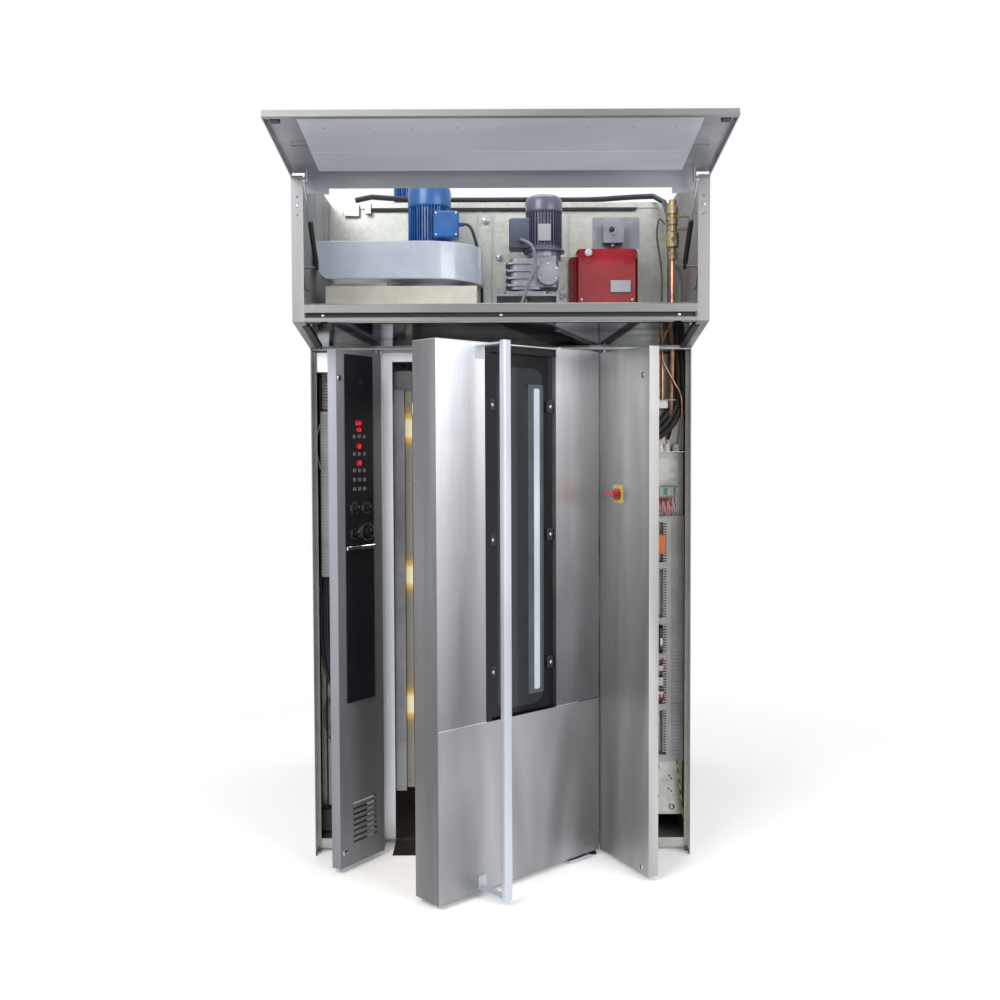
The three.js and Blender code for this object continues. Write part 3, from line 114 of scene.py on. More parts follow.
world = bpy.data.worlds.new("studio")
world.use_nodes = True
world.node_tree.nodes.clear()
tree = world.node_tree
strength = ranged(tree, seen_directly(tree), 0.5, 1.0)
sky = add(tree, "ShaderNodeBackground", {"Color": (1, 1, 1, 1), "Strength": strength})
add(tree, "ShaderNodeOutputWorld", {"Surface": sky.outputs[0]})
bpy.context.scene.world = world

for name, place, aim, size, power in (
    ("key_lamp", (-2.6, -4.2, 4.2), (0.95, 0, -0.55), 2.6, 170),
    ("fill_lamp", (3.0, -3.6, 2.6), (1.15, 0, 0.62), 2.6, 100),
    ("top_lamp", (0.0, 0.4, 5.2), (0, 0, 0), 3.0, 80),
):
    lamp = link(name, bpy.data.lights.new(name, "AREA"))
    lamp.data.size = size
    lamp.data.energy = power
    lamp.location = place
    lamp.rotation_euler = aim


def ramp(tree, factor, *stops):
    """A colour ramp through (position, sRGB code) stops, given in the order first, last, others."""
    tone = add(tree, "ShaderNodeValToRGB", {"Fac": factor})
    for element, (at, code) in zip(tone.color_ramp.elements, stops):
        element.position = at
        element.color = linear(code)
    for at, code in stops[2:]:
        tone.color_ramp.elements.new(at).color = linear(code)
    return tone.outputs[0]


def material(name, slot=""):
    """An empty node material for a frame slot, its tree, and the place on the piece that is shaded."""
    made = bpy.data.materials.new(name)
    made.use_nodes = True
    made.node_tree.nodes.clear()
    made["slot"] = slot
    return made, made.node_tree, add(made.node_tree, "ShaderNodeTexCoord").outputs["Object"]


floor_paint, tree, place = material("pale_floor_paint")
mottle = add(tree, "ShaderNodeTexNoise", {"Scale": 3.0, "Detail": 3.0}).outputs["Fac"]
glow = maths(tree, "MULTIPLY", seen_directly(tree), 0.16)
surface = add(tree, "ShaderNodeBsdfPrincipled", {
    "Base Color": ramp(tree, mottle, (0, 0xF6F6F6), (1, 0xFFFFFF)), "Roughness": 0.9,
    "Specular IOR Level": 0.1, "Emission Color": (1, 1, 1, 1), "Emission Strength": glow}).outputs[0]
away = add(tree, "ShaderNodeVectorMath", {0: place}, operation="LENGTH").outputs["Value"]
fade = ranged(tree, away, 0.0, 1.0, 1.3, 2.6, interpolation_type="SMOOTHSTEP")
clear = add(tree, "ShaderNodeBsdfTransparent").outputs[0]
blended = add(tree, "ShaderNodeMixShader", {0: fade, 1: surface, 2: clear}).outputs[0]
add(tree, "ShaderNodeOutputMaterial", {"Surface": blended})
floor = link("floor", bpy.data.meshes.new("floor"))
floor.data.from_pydata([(-14, -10, 0), (14, -10, 0), (14, 14, 0), (-14, 14, 0)], [], [(0, 1, 2, 3)])
floor.data.materials.append(floor_paint)


# ---- Outer skins, posts, door frame and leaves ----
# Brushed stainless sheet, cut and folded. The belt that brushed it ran up and down, so it shows fine vertical
# lines. Broad soft bands of painted highlight and painted shade run over it in the base colour.
def noise(tree, place, scale, detail=2.0, **values):
    """The factor of a noise over a place."""
    return add(tree, "ShaderNodeTexNoise", {"Vector": place, "Scale": scale, "Detail": detail,
                                            **values}).outputs["Fac"]


def stretched(tree, place, scale):
    """A place with its axes scaled."""
    return add(tree, "ShaderNodeMapping", {"Vector": place, "Scale": scale}).outputs[0]


def surfaced(tree, colour, roughness, **values):
    """Ends a tree with a principled surface. An underscore stands for a blank in a socket's name."""
    inputs = {"Base Color": colour, "Roughness": roughness}
    inputs.update({key.replace("_", " "): value for key, value in values.items()})
    surface = add(tree, "ShaderNodeBsdfPrincipled", inputs).outputs[0]
    add(tree, "ShaderNodeOutputMaterial", {"Surface": surface})
    return surface


def brushed(name, dark, light, roughness, grain=(0.004, 0.004, 0.25), bands=(0.16, 0.16, 1.6),
            wear=0.35, metal=1.0, lift=0.0, even=0.0):
    """Vertical grain of the given size in metres over broad bands of painted highlight and painted shade,
    with faint smudges. A painted light gradient makes the sheet lighter by lift per metre above eye level and
    darker below, and even flattens the bands."""
    made, tree, place = material(name, "brushed_steel")
    lines = noise(tree, stretched(tree, place, [1 / size for size in grain]), 1.0, 4.0, Roughness=0.65)
    # Broad soft bands of painted highlight and painted shade.
    painted_highlight_band = noise(tree, stretched(tree, place, [1 / size for size in bands]), 1.0, Distortion=0.4)
    smudge = noise(tree, place, 3.2, 5.0, Roughness=0.7)
    spread = ranged(tree, painted_highlight_band, 0.0, 1.0, 0.36 - even, 0.66 + even)
    # A painted light gradient with height: lighter above eye level, darker below.
    height = add(tree, "ShaderNodeSeparateXYZ", {"Vector": place}).outputs["Z"]
    painted_light_slope = maths(tree, "MULTIPLY_ADD", height, lift, -1.28 * lift - 0.11)
    with_lines = maths(tree, "MULTIPLY_ADD", lines, 0.22, spread)
    colour = add(tree, "ShaderNodeValToRGB", {"Fac": maths(tree, "ADD", with_lines, painted_light_slope, use_clamp=True)})
    colour.color_ramp.elements[0].color = linear(dark)
    colour.color_ramp.elements[1].color = linear(light)
    colour.color_ramp.elements.new(0.55).color = tuple(
        0.62 * a + 0.38 * b for a, b in zip(linear(dark), linear(light)))
    relief = add(tree, "ShaderNodeBump", {"Height": lines, "Strength": 0.12, "Distance": 0.0004})
    rough = ranged(tree, smudge, roughness - 0.05, roughness + wear * 0.3, 0.3, 0.7)
    surfaced(tree, colour.outputs[0], rough, Metallic=metal, Normal=relief.outputs[0])
    return made


def dress(finish, *nodes):
    """Gives CAD nodes a finish by their material slots."""
    for name in nodes:
        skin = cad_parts[name].data
        skin.materials.clear()
        skin.materials.append(finish)


panel_steel = brushed("brushed_stainless_panel", 0x9A9998, 0xC0BFBF, 0.44)
# A darker copy of the panel steel for the side panels: painted shade.
side_steel = brushed("brushed_stainless_casing", 0x7E7E80, 0x9C9C9E, 0.5, wear=0.1, metal=0.85)
# The control panel's colour carries a painted light gradient, lighter towards the top.
control_steel = brushed("satin_stainless_control_panel", 0x85868C, 0xCDD0D8, 0.5, metal=0.3,
                        lift=0.4, even=0.3)
rail_steel = brushed("brushed_stainless_rail", 0x747473, 0x8E8E8C, 0.5, grain=(0.25, 0.004, 0.004),
                     bands=(1.2, 0.3, 0.3), wear=0.1, metal=0.8)
handle_steel = brushed("satin_anodised_handle", 0xB9BEC6, 0xD6DCE6, 0.38, bands=(0.5, 0.5, 1.2),
                       wear=0.1, metal=0.6)
# A darker copy for the door's edge, inner pan and edge screws: painted shade.
edge_steel = brushed("brushed_stainless_edge", 0x717172, 0x939498, 0.5)
bright_steel = brushed("polished_stainless_tube", 0xB4BAC4, 0xEEF2F8, 0.22, bands=(0.05, 0.05, 0.9))
# The door's colour carries a steep painted light gradient, lighter towards the top, up to a near-white
# painted highlight.
door_steel = brushed("brushed_stainless_door", 0x8C8D91, 0xF4F5FA, 0.36, bands=(0.22, 0.22, 2.4),
                     lift=0.75, even=0.3)
# A darker copy for the door's lower skin: painted shade low on the door.
lower_steel = brushed("brushed_stainless_lower_skin", 0x89898C, 0xB4B5B9, 0.4,
                      bands=(0.3, 0.3, 1.4))
# A near-white copy for the door frame, trims and lit front edges: painted highlight.
profile_steel = brushed("rolled_stainless_painted_highlight", 0xD0D4DA, 0xF6F8FC, 0.34, bands=(0.4, 0.4, 2.0),
                        wear=0.1)
dress(side_steel, "left_side_panel", "right_side_panel")
dress(panel_steel, "front_header", "switch_panel")
dress(control_steel, "control_panel")
dress(door_steel, "door_shell")
dress(profile_steel, "door_frame")
dress(rail_steel, "hood_front_rails")
dress(edge_steel, "door_inner_pan")
dress(handle_steel, "door_handle")

# ---- Flap ----
# The front flap of the machine space, one folded stainless sheet that lifts on two pins. Its underside lies
# in the shade of the compartment and shows bluish grey, brushed from side to side.
flap_steel = brushed("brushed_stainless_flap", 0x9899A0, 0xB4B5BB, 0.42, grain=(0.3, 0.004, 0.004),
                     bands=(0.7, 0.2, 0.2), wear=0.1, metal=0.55)
dress(flap_steel, "flap")


def outward(origin, normal, up=(0, 0, 1)):
    """A flat frame in millimetres: origin, and unit axes U, V = up and N = normal with U = V x N."""
    normal = np.array(normal, float) / np.linalg.norm(normal)
    up = np.array(up, float) - normal * np.dot(up, normal)
    up /= np.linalg.norm(up)
    return np.array([origin, np.cross(up, normal), up, normal], float)


def on(axes, u, v, n):
    """The point at u, v, n in a flat frame, for arrays of equal shape."""
    u, v, n = np.broadcast_arrays(u, v, n)
    return axes[0] + u[..., None] * axes[1] + v[..., None] * axes[2] + n[..., None] * axes[3]


def loft(rings):
    """Rings of equal point count, shape (rings, sides, 3), as one closed skin: quads between neighbouring
    rings, each ring counter-clockwise seen from the last one's side, and a flat end on the first and last."""
    count, sides = rings.shape[:2]
    row = np.arange(count - 1)[:, None] * sides
    here = np.arange(sides)[None, :]
    after = (here + 1) % sides
    quads = np.stack([row + here, row + after, row + sides + after, row + sides + here], -1)
    ends = [np.arange(sides)[::-1].tolist(), (np.arange(sides) + (count - 1) * sides).tolist()]
    return rings.reshape(-1, 3), quads.reshape(-1, 4).tolist() + ends


def piece(name, parts, finish, body="oven", slot=None, smooth=False):
    """One piece of the oven from closed skins in millimetres, riding on a body. Its slot, the finish's own
    unless another is given, is worked out but not used."""
    slot = slot or finish["slot"]
    points, faces, start = [], [], 0
    for part_points, part_faces in parts:
        points.append(part_points)
        faces += [[corner + start for corner in face] for face in part_faces]
        start += len(part_points)
    mesh = bpy.data.meshes.new(name)
    mesh.from_pydata(metres(np.concatenate(points)).tolist(), [], faces)
    mesh.materials.append(finish)
    if smooth:
        mesh.shade_smooth()
    made = link(name, mesh)
    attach(made, body)
    return made


def plate(axes, u0, u1, v0, v1, n0, n1, corner=2.0, bevel=0.8):
    """A plate with rounded corners and a bevelled face: corner arcs in U and V, carried from n0 to n1."""
    quarter = np.linspace(0, np.pi / 2, 4)
    turn = np.concatenate([quarter + k * np.pi / 2 for k in range(4)])
    centre_u = np.repeat([u1 - corner, u0 + corner, u0 + corner, u1 - corner], 4)
    centre_v = np.repeat([v1 - corner, v1 - corner, v0 + corner, v0 + corner], 4)
    rings = [on(axes, centre_u + (corner - inset) * np.cos(turn),
                centre_v + (corner - inset) * np.sin(turn), n)
             for inset, n in ((0, n0), (0, n1 - bevel), (bevel, n1))]
    return loft(np.array(rings))


def studs(axes, places, n0, radius, height, sides=12):
    """Round heads with a domed top at (u, v) places: rings of radius r cos(t) at height h sin(t)."""
    turn = np.linspace(0, 2 * np.pi, sides, endpoint=False)
    return [loft(np.array([on(axes, u + radius * share * np.cos(turn), v + radius * share * np.sin(turn),
                              n0 + height * lift)
                           for share, lift in ((1, 0), (1, 0.45), (0.82, 0.8), (0.35, 1))]))
            for u, v in places]


def clouded(name, slot, low, high, roughness, scale, detail=2.0, stretch=None, ends=(0, 1), relief=None,
            **surface):
    """A finish coloured from low to high by a noise, over the given ends of its range. Stretch scales the
    noise's axes. Relief, (scale, detail, strength, depth), adds the bump of a second, finer noise."""
    made, tree, place = material(name, slot)
    over = stretched(tree, place, stretch) if stretch else place
    tone = ramp(tree, noise(tree, over, scale, detail, **surface.pop("cloud", {})), (ends[0], low),
                (ends[1], high))
    if relief:
        fine = noise(tree, place, relief[0], relief[1])
        surface["Normal"] = add(tree, "ShaderNodeBump", {"Height": fine, "Strength": relief[2],
                                                         "Distance": relief[3]}).outputs[0]
    if "Emission_Strength" in surface:
        surface["Emission_Color"] = tone
    surfaced(tree, tone, roughness, **surface)
    return made


def screws(name, axes, places, n0, radius, height, body="oven", sides=12):
    """Domed screw heads in zinc-plated steel."""
    piece(name, studs(axes, places, n0, radius, height, sides), zinc, body, smooth=True)


zinc = clouded("zinc_plated_steel_screw", "brushed_steel", 0x8E9298, 0xD8DCE4, 0.28, 400.0, Metallic=1.0)
moulded_black = clouded("moulded_black_nylon", "black_plastic", 0x131416, 0x26272B, 0.45, 18.0, 3.0,
                        relief=(900.0, 2.0, 0.25, 0.0003))  # a spark-eroded grain of 1 mm
lining_steel = brushed("satin_flap_lining", 0xD2D7E2, 0xE6EAF1, 0.42, grain=(0.3, 0.004, 0.004),
                       bands=(0.9, 0.3, 0.3), wear=0.1, metal=0.2)
flap_pivot = np.array([0, -350, 2424])
flap_open = np.radians(97.4)
flap_along = np.array([0, -np.sin(flap_open), -np.cos(flap_open)])
flap_inside = np.array([0, np.cos(flap_open), -np.sin(flap_open)])
flap_under = outward(flap_pivot - 19 * flap_inside, flap_inside, flap_along)
flap_lip = outward(flap_pivot + 464 * flap_along, flap_along, flap_inside)
screws("flap_screws", flap_under, [(x, 449) for x in np.linspace(-630, 630, 15)], -0.2, 5, 3, "flap")
screws("flap_rivets", flap_under, [(u, 356) for u in np.arange(-532, 533, 133)], 6, 4.5, 2, "flap")
piece("flap_stiffener", [plate(flap_under, -655, 655, 226, 244, -0.5, 3.2, 3),
                         plate(flap_under, -640, 640, 408, 414, -0.5, 2.6, 2)], flap_steel, "flap")
piece("flap_catches", [plate(flap_under, side * 668 - 14, side * 668 + 14, 404, 432, -0.5, 14, 4, 2)
                       for side in (-1, 1)], moulded_black, "flap")
piece("flap_lining", [plate(flap_under, -604, 604, v0, v1, -0.5, n, 3, 1)
                      for v0, v1, n in ((14, 171, 4.2), (174, 330, 4.2), (326, 446, 6.4))], lining_steel,
      "flap")
piece("flap_lip_trim", [plate(flap_lip, -699, 699, -21.5, -1.5, -0.3, 0.6, 1, 0.4)], rail_steel, "flap")

# ---- Hood posts, rails and shaded gaps ----
# The posts at the hood's corners carry the flap pins. A dark strip runs back along each side under the hood
# and another lies in the slot of the lower rail: both are painted shade in those gaps. A domed rivet closes
# each post.
# Black rubber for the real rubber parts, also used as painted shade in gaps and slots.
black_rubber_and_shade = clouded("extruded_black_rubber_and_painted_shade", "rubber", 0x111112, 0x2D2D2F, 0.62, 30.0, 5.0,
                           cloud={"Roughness": 0.7})

def facing(y, x=0, z=0):
    """The flat frame of an upright face towards the front."""
    return outward([x, y, z], (0, -1, 0))


rail_slot = facing(-334)
screws("post_rivets", facing(-348), [(-679, 2330), (679, 2330)], -0.3, 6, 3.4)
screws("rail_screws", rail_slot, [(x, 1967) for x in (-600, 0, 600)], -0.4, 6, 3)


def eased(points, count):
    """A smooth line through points: Catmull-Rom pieces, p(t) = cubic in t with tangents (next - last) / 2."""
    points = np.asarray(points, float)
    padded = np.concatenate([2 * points[:1] - points[1:2], points, 2 * points[-1:] - points[-2:-1]])
    place = np.linspace(0, len(points) - 1, count)
    i = np.minimum(place.astype(int), len(points) - 2)
    t = (place - i)[:, None]
    a, b, c, d = (padded[i + k] for k in range(4))
    return 0.5 * (2 * b + (c - a) * t + (2 * a - 5 * b + 4 * c - d) * t**2 + (3 * b - a - 3 * c + d) * t**3)


def run(points, radius, count=40, sides=10, ripple=0.0, pitch=6.0):
    """A round lead or pipe along a smooth line: circles of the radius, square to the line, each placed by the
    line's tangent and two normals. A corrugated hose adds ripple x cos(2 pi s / pitch) to the radius."""
    line = eased(points, count)
    tangent = np.gradient(line, axis=0)
    tangent /= np.linalg.norm(tangent, axis=1)[:, None]
    spread = np.abs(line[-1] - line[0])
    spare = np.eye(3)[np.argmin(spread)] + 0.01  # an axis the line hardly follows, tilted off every other
    side = np.cross(tangent, spare)
    side /= np.linalg.norm(side, axis=1)[:, None]
    other = np.cross(tangent, side)
    travel = np.concatenate([[0], np.cumsum(np.linalg.norm(np.diff(line, axis=0), axis=1))])
    wide = radius + ripple * np.cos(2 * np.pi * travel / pitch)
    turn = np.linspace(0, 2 * np.pi, sides, endpoint=False)
    rings = line[:, None] + wide[:, None, None] * (np.cos(turn)[:, None] * side[:, None]
                                                   + np.sin(turn)[:, None] * other[:, None])
    return loft(rings)


# Dark strips under the hood's sides: painted shade in the gaps there.
side_gap_shades = []
for side in (-1, 1):
    slope = outward([side * 664, 0, 1887 + 3.6], (0, -1 / 6, -1), (0, -1, 1 / 6))
    side_gap_shades.append(plate(slope, -12, 12, 20, 300, 0, 7, 3, 1.5))
piece("hood_side_gap_shades", side_gap_shades, black_rubber_and_shade)
# A dark strip in the lower rail's slot: painted shade in the slot.
piece("hood_rail_slot_shade", [plate(rail_slot, -655, 655, 1960, 1975, -0.4, 1, 1, 0.4)], black_rubber_and_shade)
# A mirror-polished sheet whose waves bend its surface and also darken and lighten its base colour: the colour
# part is painted reflection.
polished, tree, place = material("mirror_polished_stainless")
waviness_and_reflection = noise(tree, stretched(tree, place, (2.4, 9.0, 9.0)), 1.0, Distortion=0.8)
relief = add(tree, "ShaderNodeBump", {"Height": waviness_and_reflection, "Strength": 0.15, "Distance": 0.002})
surfaced(tree, ramp(tree, waviness_and_reflection, (0.35, 0x55585F), (0.7, 0xB6BAC4)), 0.1, Metallic=1.0,
         Normal=relief.outputs[0])
dress(polished, "hood_underside")

# ---- Gas struts ----
# Two gas springs hold the flap up, each a black cylinder below with a bright rod above. The cylinder is as
# dull as moulded nylon and shares that finish, and the rod shares the finish of the screws.
dress(moulded_black, "left_strut_tube", "right_strut_tube")
dress(zinc, "left_strut_rod", "right_strut_rod")

# ---- Machine space: back panel, roof deck, exchanger case and rear panel ----
# Hot-dip galvanised sheet. The zinc froze in flat crystals some 14 mm across, which show as a faint patchwork
# of pale greenish greys under a haze of flour dust.
spangle, tree, place = material("galvanised_sheet", "galvanised_steel")
crystal = add(tree, "ShaderNodeTexVoronoi", {"Vector": place, "Scale": 1 / 0.014}).outputs["Color"]
patch = add(tree, "ShaderNodeSeparateColor", {"Color": crystal}).outputs
dust = noise(tree, place, 5.0, 6.0, Roughness=0.65)
both = maths(tree, "MULTIPLY_ADD", patch[0], 0.22, dust)
surfaced(tree, ramp(tree, both, (0.35, 0xAFB2AB), (0.95, 0xCBCEC8)), ranged(tree, patch[1], 0.28, 0.42),
         Metallic=0.85)
dress(spangle, "compartment_back_panel", "roof_deck", "exchanger_casing", "rear_panel", "base_frame",
      "fan_wheel", "enclosure_plate", "door_hinge_strap")
back_panel = facing(482)
washers = [(-61, 2453), (-5, 2303), (-9, 2136), (249, 2303), (249, 2150)]
piece("back_panel_screws", studs(back_panel, washers, 7.6, 13, 3, 16)
      + studs(back_panel, washers, 10, 7, 5, 6), zinc, slot="galvanised_steel")
piece("back_panel_folds", [plate(back_panel, u, u + 3, 2060, 2488, 7.6, 11, 1, 0.5) for u in (-100, -38, 280)]
      + [plate(back_panel, -556, 556, 2502, 2524, 7.6, 12, 2, 1)], spangle)
# A dark strip under the top fold: painted shade beneath it.
piece("back_panel_fold_shade", [plate(back_panel, -556, 556, 2492, 2501, 7.6, 10, 2, 1)], black_rubber_and_shade)
piece("lifting_bracket", [plate(back_panel, -640, -575, 2470, 2522, 7.8, 14, 6, 1),
                          plate(back_panel, -552, -526, 2478, 2524, 7.8, 24, 4, 1)], spangle)

# ---- Circulation fan ----
# A pressed-steel scroll with a thick coat of glossy blue-grey enamel on a plain cream plinth. The motor above
# is a cast finned barrel, sprayed blue, with a terminal box in front.


def sprayed(name, slot, low, high, roughness, coat=0.0):
    """Sprayed paint or moulding: a colour that clouds a little, an orange-peel skin of about 4 mm and a clear
    top coat."""
    return clouded(name, slot, low, high, roughness, 7.0, 5.0, ends=(0.3, 0.72), cloud={"Roughness": 0.6},
                   relief=(220.0, 1.0, 0.18, 0.0006), Coat_Weight=coat, Coat_Roughness=0.08)


scroll_enamel = sprayed("blue_grey_stove_enamel", "grey_paint", 0xB3BCCC, 0xCDD4E0, 0.26, 0.7)
plinth_paint = sprayed("cream_powder_coat", "cream_plinth", 0xC4C1B3, 0xDCDACF, 0.55)
motor_paint = sprayed("blue_machine_paint", "blue_paint", 0x0F4A85, 0x1D66AE, 0.36, 0.2)
insulation = clouded("pvc_cable_sheath", "rubber", 0x15161A, 0x33343A, 0.38, 60.0, 4.0)
dress(plinth_paint, "fan_plinth")
dress(motor_paint, "fan_motor", "steam_fan_motor")
dress(insulation, "cable_bundle")
fan = np.array([-276, 270, 0])
growth = np.linspace(0, 1, 120)
sweep = np.radians(250 - 340 * growth)


def scroll(inset, end):
    """The casing in plan: radius 155 + 70 s mm as the angle runs back by 340 s degrees, then a straight duct
    that stops short of X -685 by the given length."""
    reach = 155 + 70 * growth - inset
    spiral = np.stack([fan[0] + reach * np.cos(sweep), fan[1] + reach * np.sin(sweep)], 1)
    return np.concatenate([spiral, [(-685 + end, 45 + inset), (-685 + end, 165 - inset)]])[::-1]


casing_rings = [(4, 2150, 42), (1, 2151, 40), (0, 2154, 34), (0, 2161, 25), (0, 2172, 15), (0, 2186, 7),
                (0, 2204, 1), (0, 2216, 0), (0, 2286, 0), (1, 2289, 0), (4, 2290, 4)]
casing_skin = loft(np.array([np.column_stack([scroll(inset, end), np.full(122, z)])
                             for inset, z, end in casing_rings]))

def upward(x, y, z=0):
    """The flat frame of a level face, with V towards the back."""
    return outward([x, y, z], (0, 0, 1), (0, 1, 0))


hoop = upward(fan[0], fan[1])


def turned(axes, profile, sides=72):
    """A profile of (radius, height) carried round the axis of a flat frame."""
    turn = np.linspace(0, 2 * np.pi, sides, endpoint=False)
    return loft(np.array([on(axes, radius * np.cos(turn), radius * np.sin(turn), height)
                          for radius, height in profile]))


def fins(axes, inner, outer, low, high, count, thick=2.4):
    """Cooling fins: thin radial plates, evenly spaced round the axis of a flat frame."""
    made = []
    for angle in np.linspace(0, 2 * np.pi, count, endpoint=False):
        along, across = np.array([np.cos(angle), np.sin(angle)]), np.array([-np.sin(angle), np.cos(angle)])
        corners = [inner * along - thick * across, outer * along - 0.6 * thick * across,
                   outer * along + 0.6 * thick * across, inner * along + thick * across]
        made.append(loft(np.array([[on(axes, np.array(u), np.array(v), np.array(z)) for u, v in corners]
                                   for z in (low, high)])))
    return made


throat, lid = [(112, 2125), (112, 2150.5)], [(122, 2289.5), (122, 2292.6), (119, 2293.4)]
scroll_case = piece("fan_casing", [casing_skin, turned(hoop, throat), turned(hoop, lid)], scroll_enamel)
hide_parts("fan_volute")
barrel, cowl, radius = 160, 96, 84
for name, axes, foot in (("fan_motor", hoop, 2290), ("steam_fan_motor", upward(-373, 720), 2511)):
    low = foot + barrel
    cowl_side = [(radius * 0.99 + 0.4, low + 1), (radius + 0.4, low + 8), (radius + 0.4, low + cowl * 0.68),
                 (radius * 0.93 + 0.5, low + cowl * 0.86), (radius * 0.78 + 0.4, low + cowl + 0.4)]
    rim = radius * 1.12 + 0.3
    flange = [(rim, foot + 0.6), (rim, foot + 8.6), (radius * 0.98, foot + 12)]
    piece(f"{name}_cowl", [turned(axes, cowl_side), turned(axes, flange)], motor_paint, smooth=True)
    piece(f"{name}_fins", fins(axes, radius * 0.84, radius * 0.985, foot + 20, low + 1, 44), motor_paint)
    grille = [turned(axes, [(r, low + cowl - 0.5), (r, low + cowl + 1.4), (r - 5, low + cowl + 1.4)], 40)
              for r in (58, 44, 30, 16)]
    piece(f"{name}_grille", grille, motor_paint)
bolt_turn = np.radians(np.arange(22.5, 360, 45))
bolt_places = np.stack([138 * np.cos(bolt_turn), 138 * np.sin(bolt_turn)], 1)
piece("scroll_bolts", studs(upward(fan[0], fan[1], 2290), bolt_places, -0.4, 8, 6, 6), zinc)
box_face = facing(fan[1] - 126, fan[0] + 70, 2370)
piece("fan_terminal_lid", [plate(box_face, -46, 46, -48, 48, -0.4, 7, 8, 2.5)], motor_paint)
screws("fan_terminal_screws", box_face, [(u, v) for u in (-38, 38) for v in (-40, 40)], 6.8, 4, 2.4)
piece("fan_motor_lead", [run([(-143, 174, 2374), (-128, 174, 2374), (-112, 178, 2360), (-100, 190, 2330),
                              (-92, 210, 2300), (-80, 320, 2250), (-76, 420, 2180), (-76, 440, 2056)],
                             6, 60)], insulation, smooth=True)

# ---- Rack drive ----
# A cast-aluminium worm gear with its slate-painted motor on top turns a toothed pulley under the deck; a belt
# takes the turn to the rack's spindle. Sand casting leaves a fine pebbled skin.
casting = clouded("sand_cast_aluminium", "", 0x6A6E78, 0xA7ABB4, 0.48, 14.0, 5.0,
                  relief=(260.0, 3.0, 0.4, 0.0008), Metallic=0.9)
slate_paint = sprayed("slate_machine_paint", "slate_paint", 0x3C4152, 0x596075, 0.36, 0.3)
mauve_sheath = sprayed("mauve_grey_pvc_sheath", "", 0x6A6472, 0x857F8C, 0.42)
dress(casting, "gear_unit", "drive_pulley", "pressure_switch")
dress(slate_paint, "gear_motor")
dress(mauve_sheath, "gear_motor_cable")
dress(black_rubber_and_shade, "drive_belt")
cover_turn = np.radians(np.arange(30, 390, 60))
cover_places = np.stack([36 * np.cos(cover_turn), 36 * np.sin(cover_turn)], 1)
piece("gear_cover_screws", studs(facing(158, 182, 2186), cover_places, -0.4, 4.2, 3.4, 6), zinc)
terminal_side = outward([39, 250, 2348.5], (-1, 0, 0))
piece("gear_terminal_lid", [plate(terminal_side, -40, 40, -56, 56, -0.4, 6, 8, 2)], slate_paint)
gear_axis = upward(168, 250)
gear_low = 2276.5 + 150
gear_cowl = [(70.8, gear_low + 1), (71.4, gear_low + 8), (71.4, gear_low + 45), (66.6, gear_low + 57),
             (55.8, gear_low + 66.4)]
gear_flange = [(79.9, 2277), (79.9, 2285.2), (69.6, 2288.5)]
piece("gear_motor_cowl", [turned(gear_axis, gear_cowl), turned(gear_axis, gear_flange)], slate_paint,
      smooth=True)
piece("gear_motor_fins", fins(gear_axis, 59.6, 70, 2296, gear_low + 1, 36, 2), slate_paint)
piece("motor_bare_plate", [plate(facing(250 - 71.6, 168, 2345), -24, 24, -32, 32, -3, 1.4, 3, 0.4)], zinc)

# ---- Burner ----
# A forced-draught gas burner under a glossy red moulded hood, with a sight glass. Beside it, a grey die-cast
# pressure switch has a black test button. The data plate is left bare.
gloss_red = clouded("glossy_red_abs", "red_cover", 0x9A101C, 0xBE1E2B, 0.16, 9.0, 3.0, ends=(0.3, 0.75),
                    Coat_Weight=0.5, Coat_Roughness=0.05)
clear_lens = clouded("borosilicate_lens", "tinted_glass", 0xAEB4BC, 0xF4F7FA, 0.06, 80.0, 3.0,
                     Coat_Weight=1.0, Coat_Roughness=0.03)
dress(gloss_red, "burner_cover", "main_switch_knob")
dress(sprayed("red_stove_enamel", "", 0x8B1420, 0xB3202D, 0.34, 0.3), "burner_body")


def front_of(box):
    """The flat frame of a CAD node's foremost plane, from the node's box in metres."""
    return facing((box[0][1] + FRONT) * 1000)


burner_front = front_of(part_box("burner_cover"))
piece("burner_sight_glass", studs(burner_front, [(349, 2296)], 2.5, 15, 6, 20), clear_lens, smooth=True)
screws("burner_cover_screws", burner_front, [(322, 2110), (524, 2110)], 3.6, 6, 3)
piece("burner_bare_plate", [plate(burner_front, 436, 516, 2140, 2186, 3.4, 5.6, 3, 0.5)], zinc)
switch_front = front_of(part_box("pressure_switch"))
piece("pressure_test_button", studs(switch_front, [(449, 2404)], -0.6, 11, 6, 20), moulded_black, smooth=True)


# ---- Gas train ----
# Brass valve body and ball valve over a copper riser. Brass and copper have darkened in the heat, unevenly,
# with brighter rubbed places.
def tarnished(name, slot, dark, bright, roughness):
    """Bare metal with a soft tarnish: cloud noise over some 60 mm between a dark and a rubbed colour."""
    made, tree, place = material(name, slot)
    cloud = noise(tree, place, 16.0, 6.0, Roughness=0.7)
    surfaced(tree, ramp(tree, cloud, (0.32, dark), (0.7, bright)),
             ranged(tree, cloud, roughness + 0.12, roughness - 0.08), Metallic=1.0)
    return made


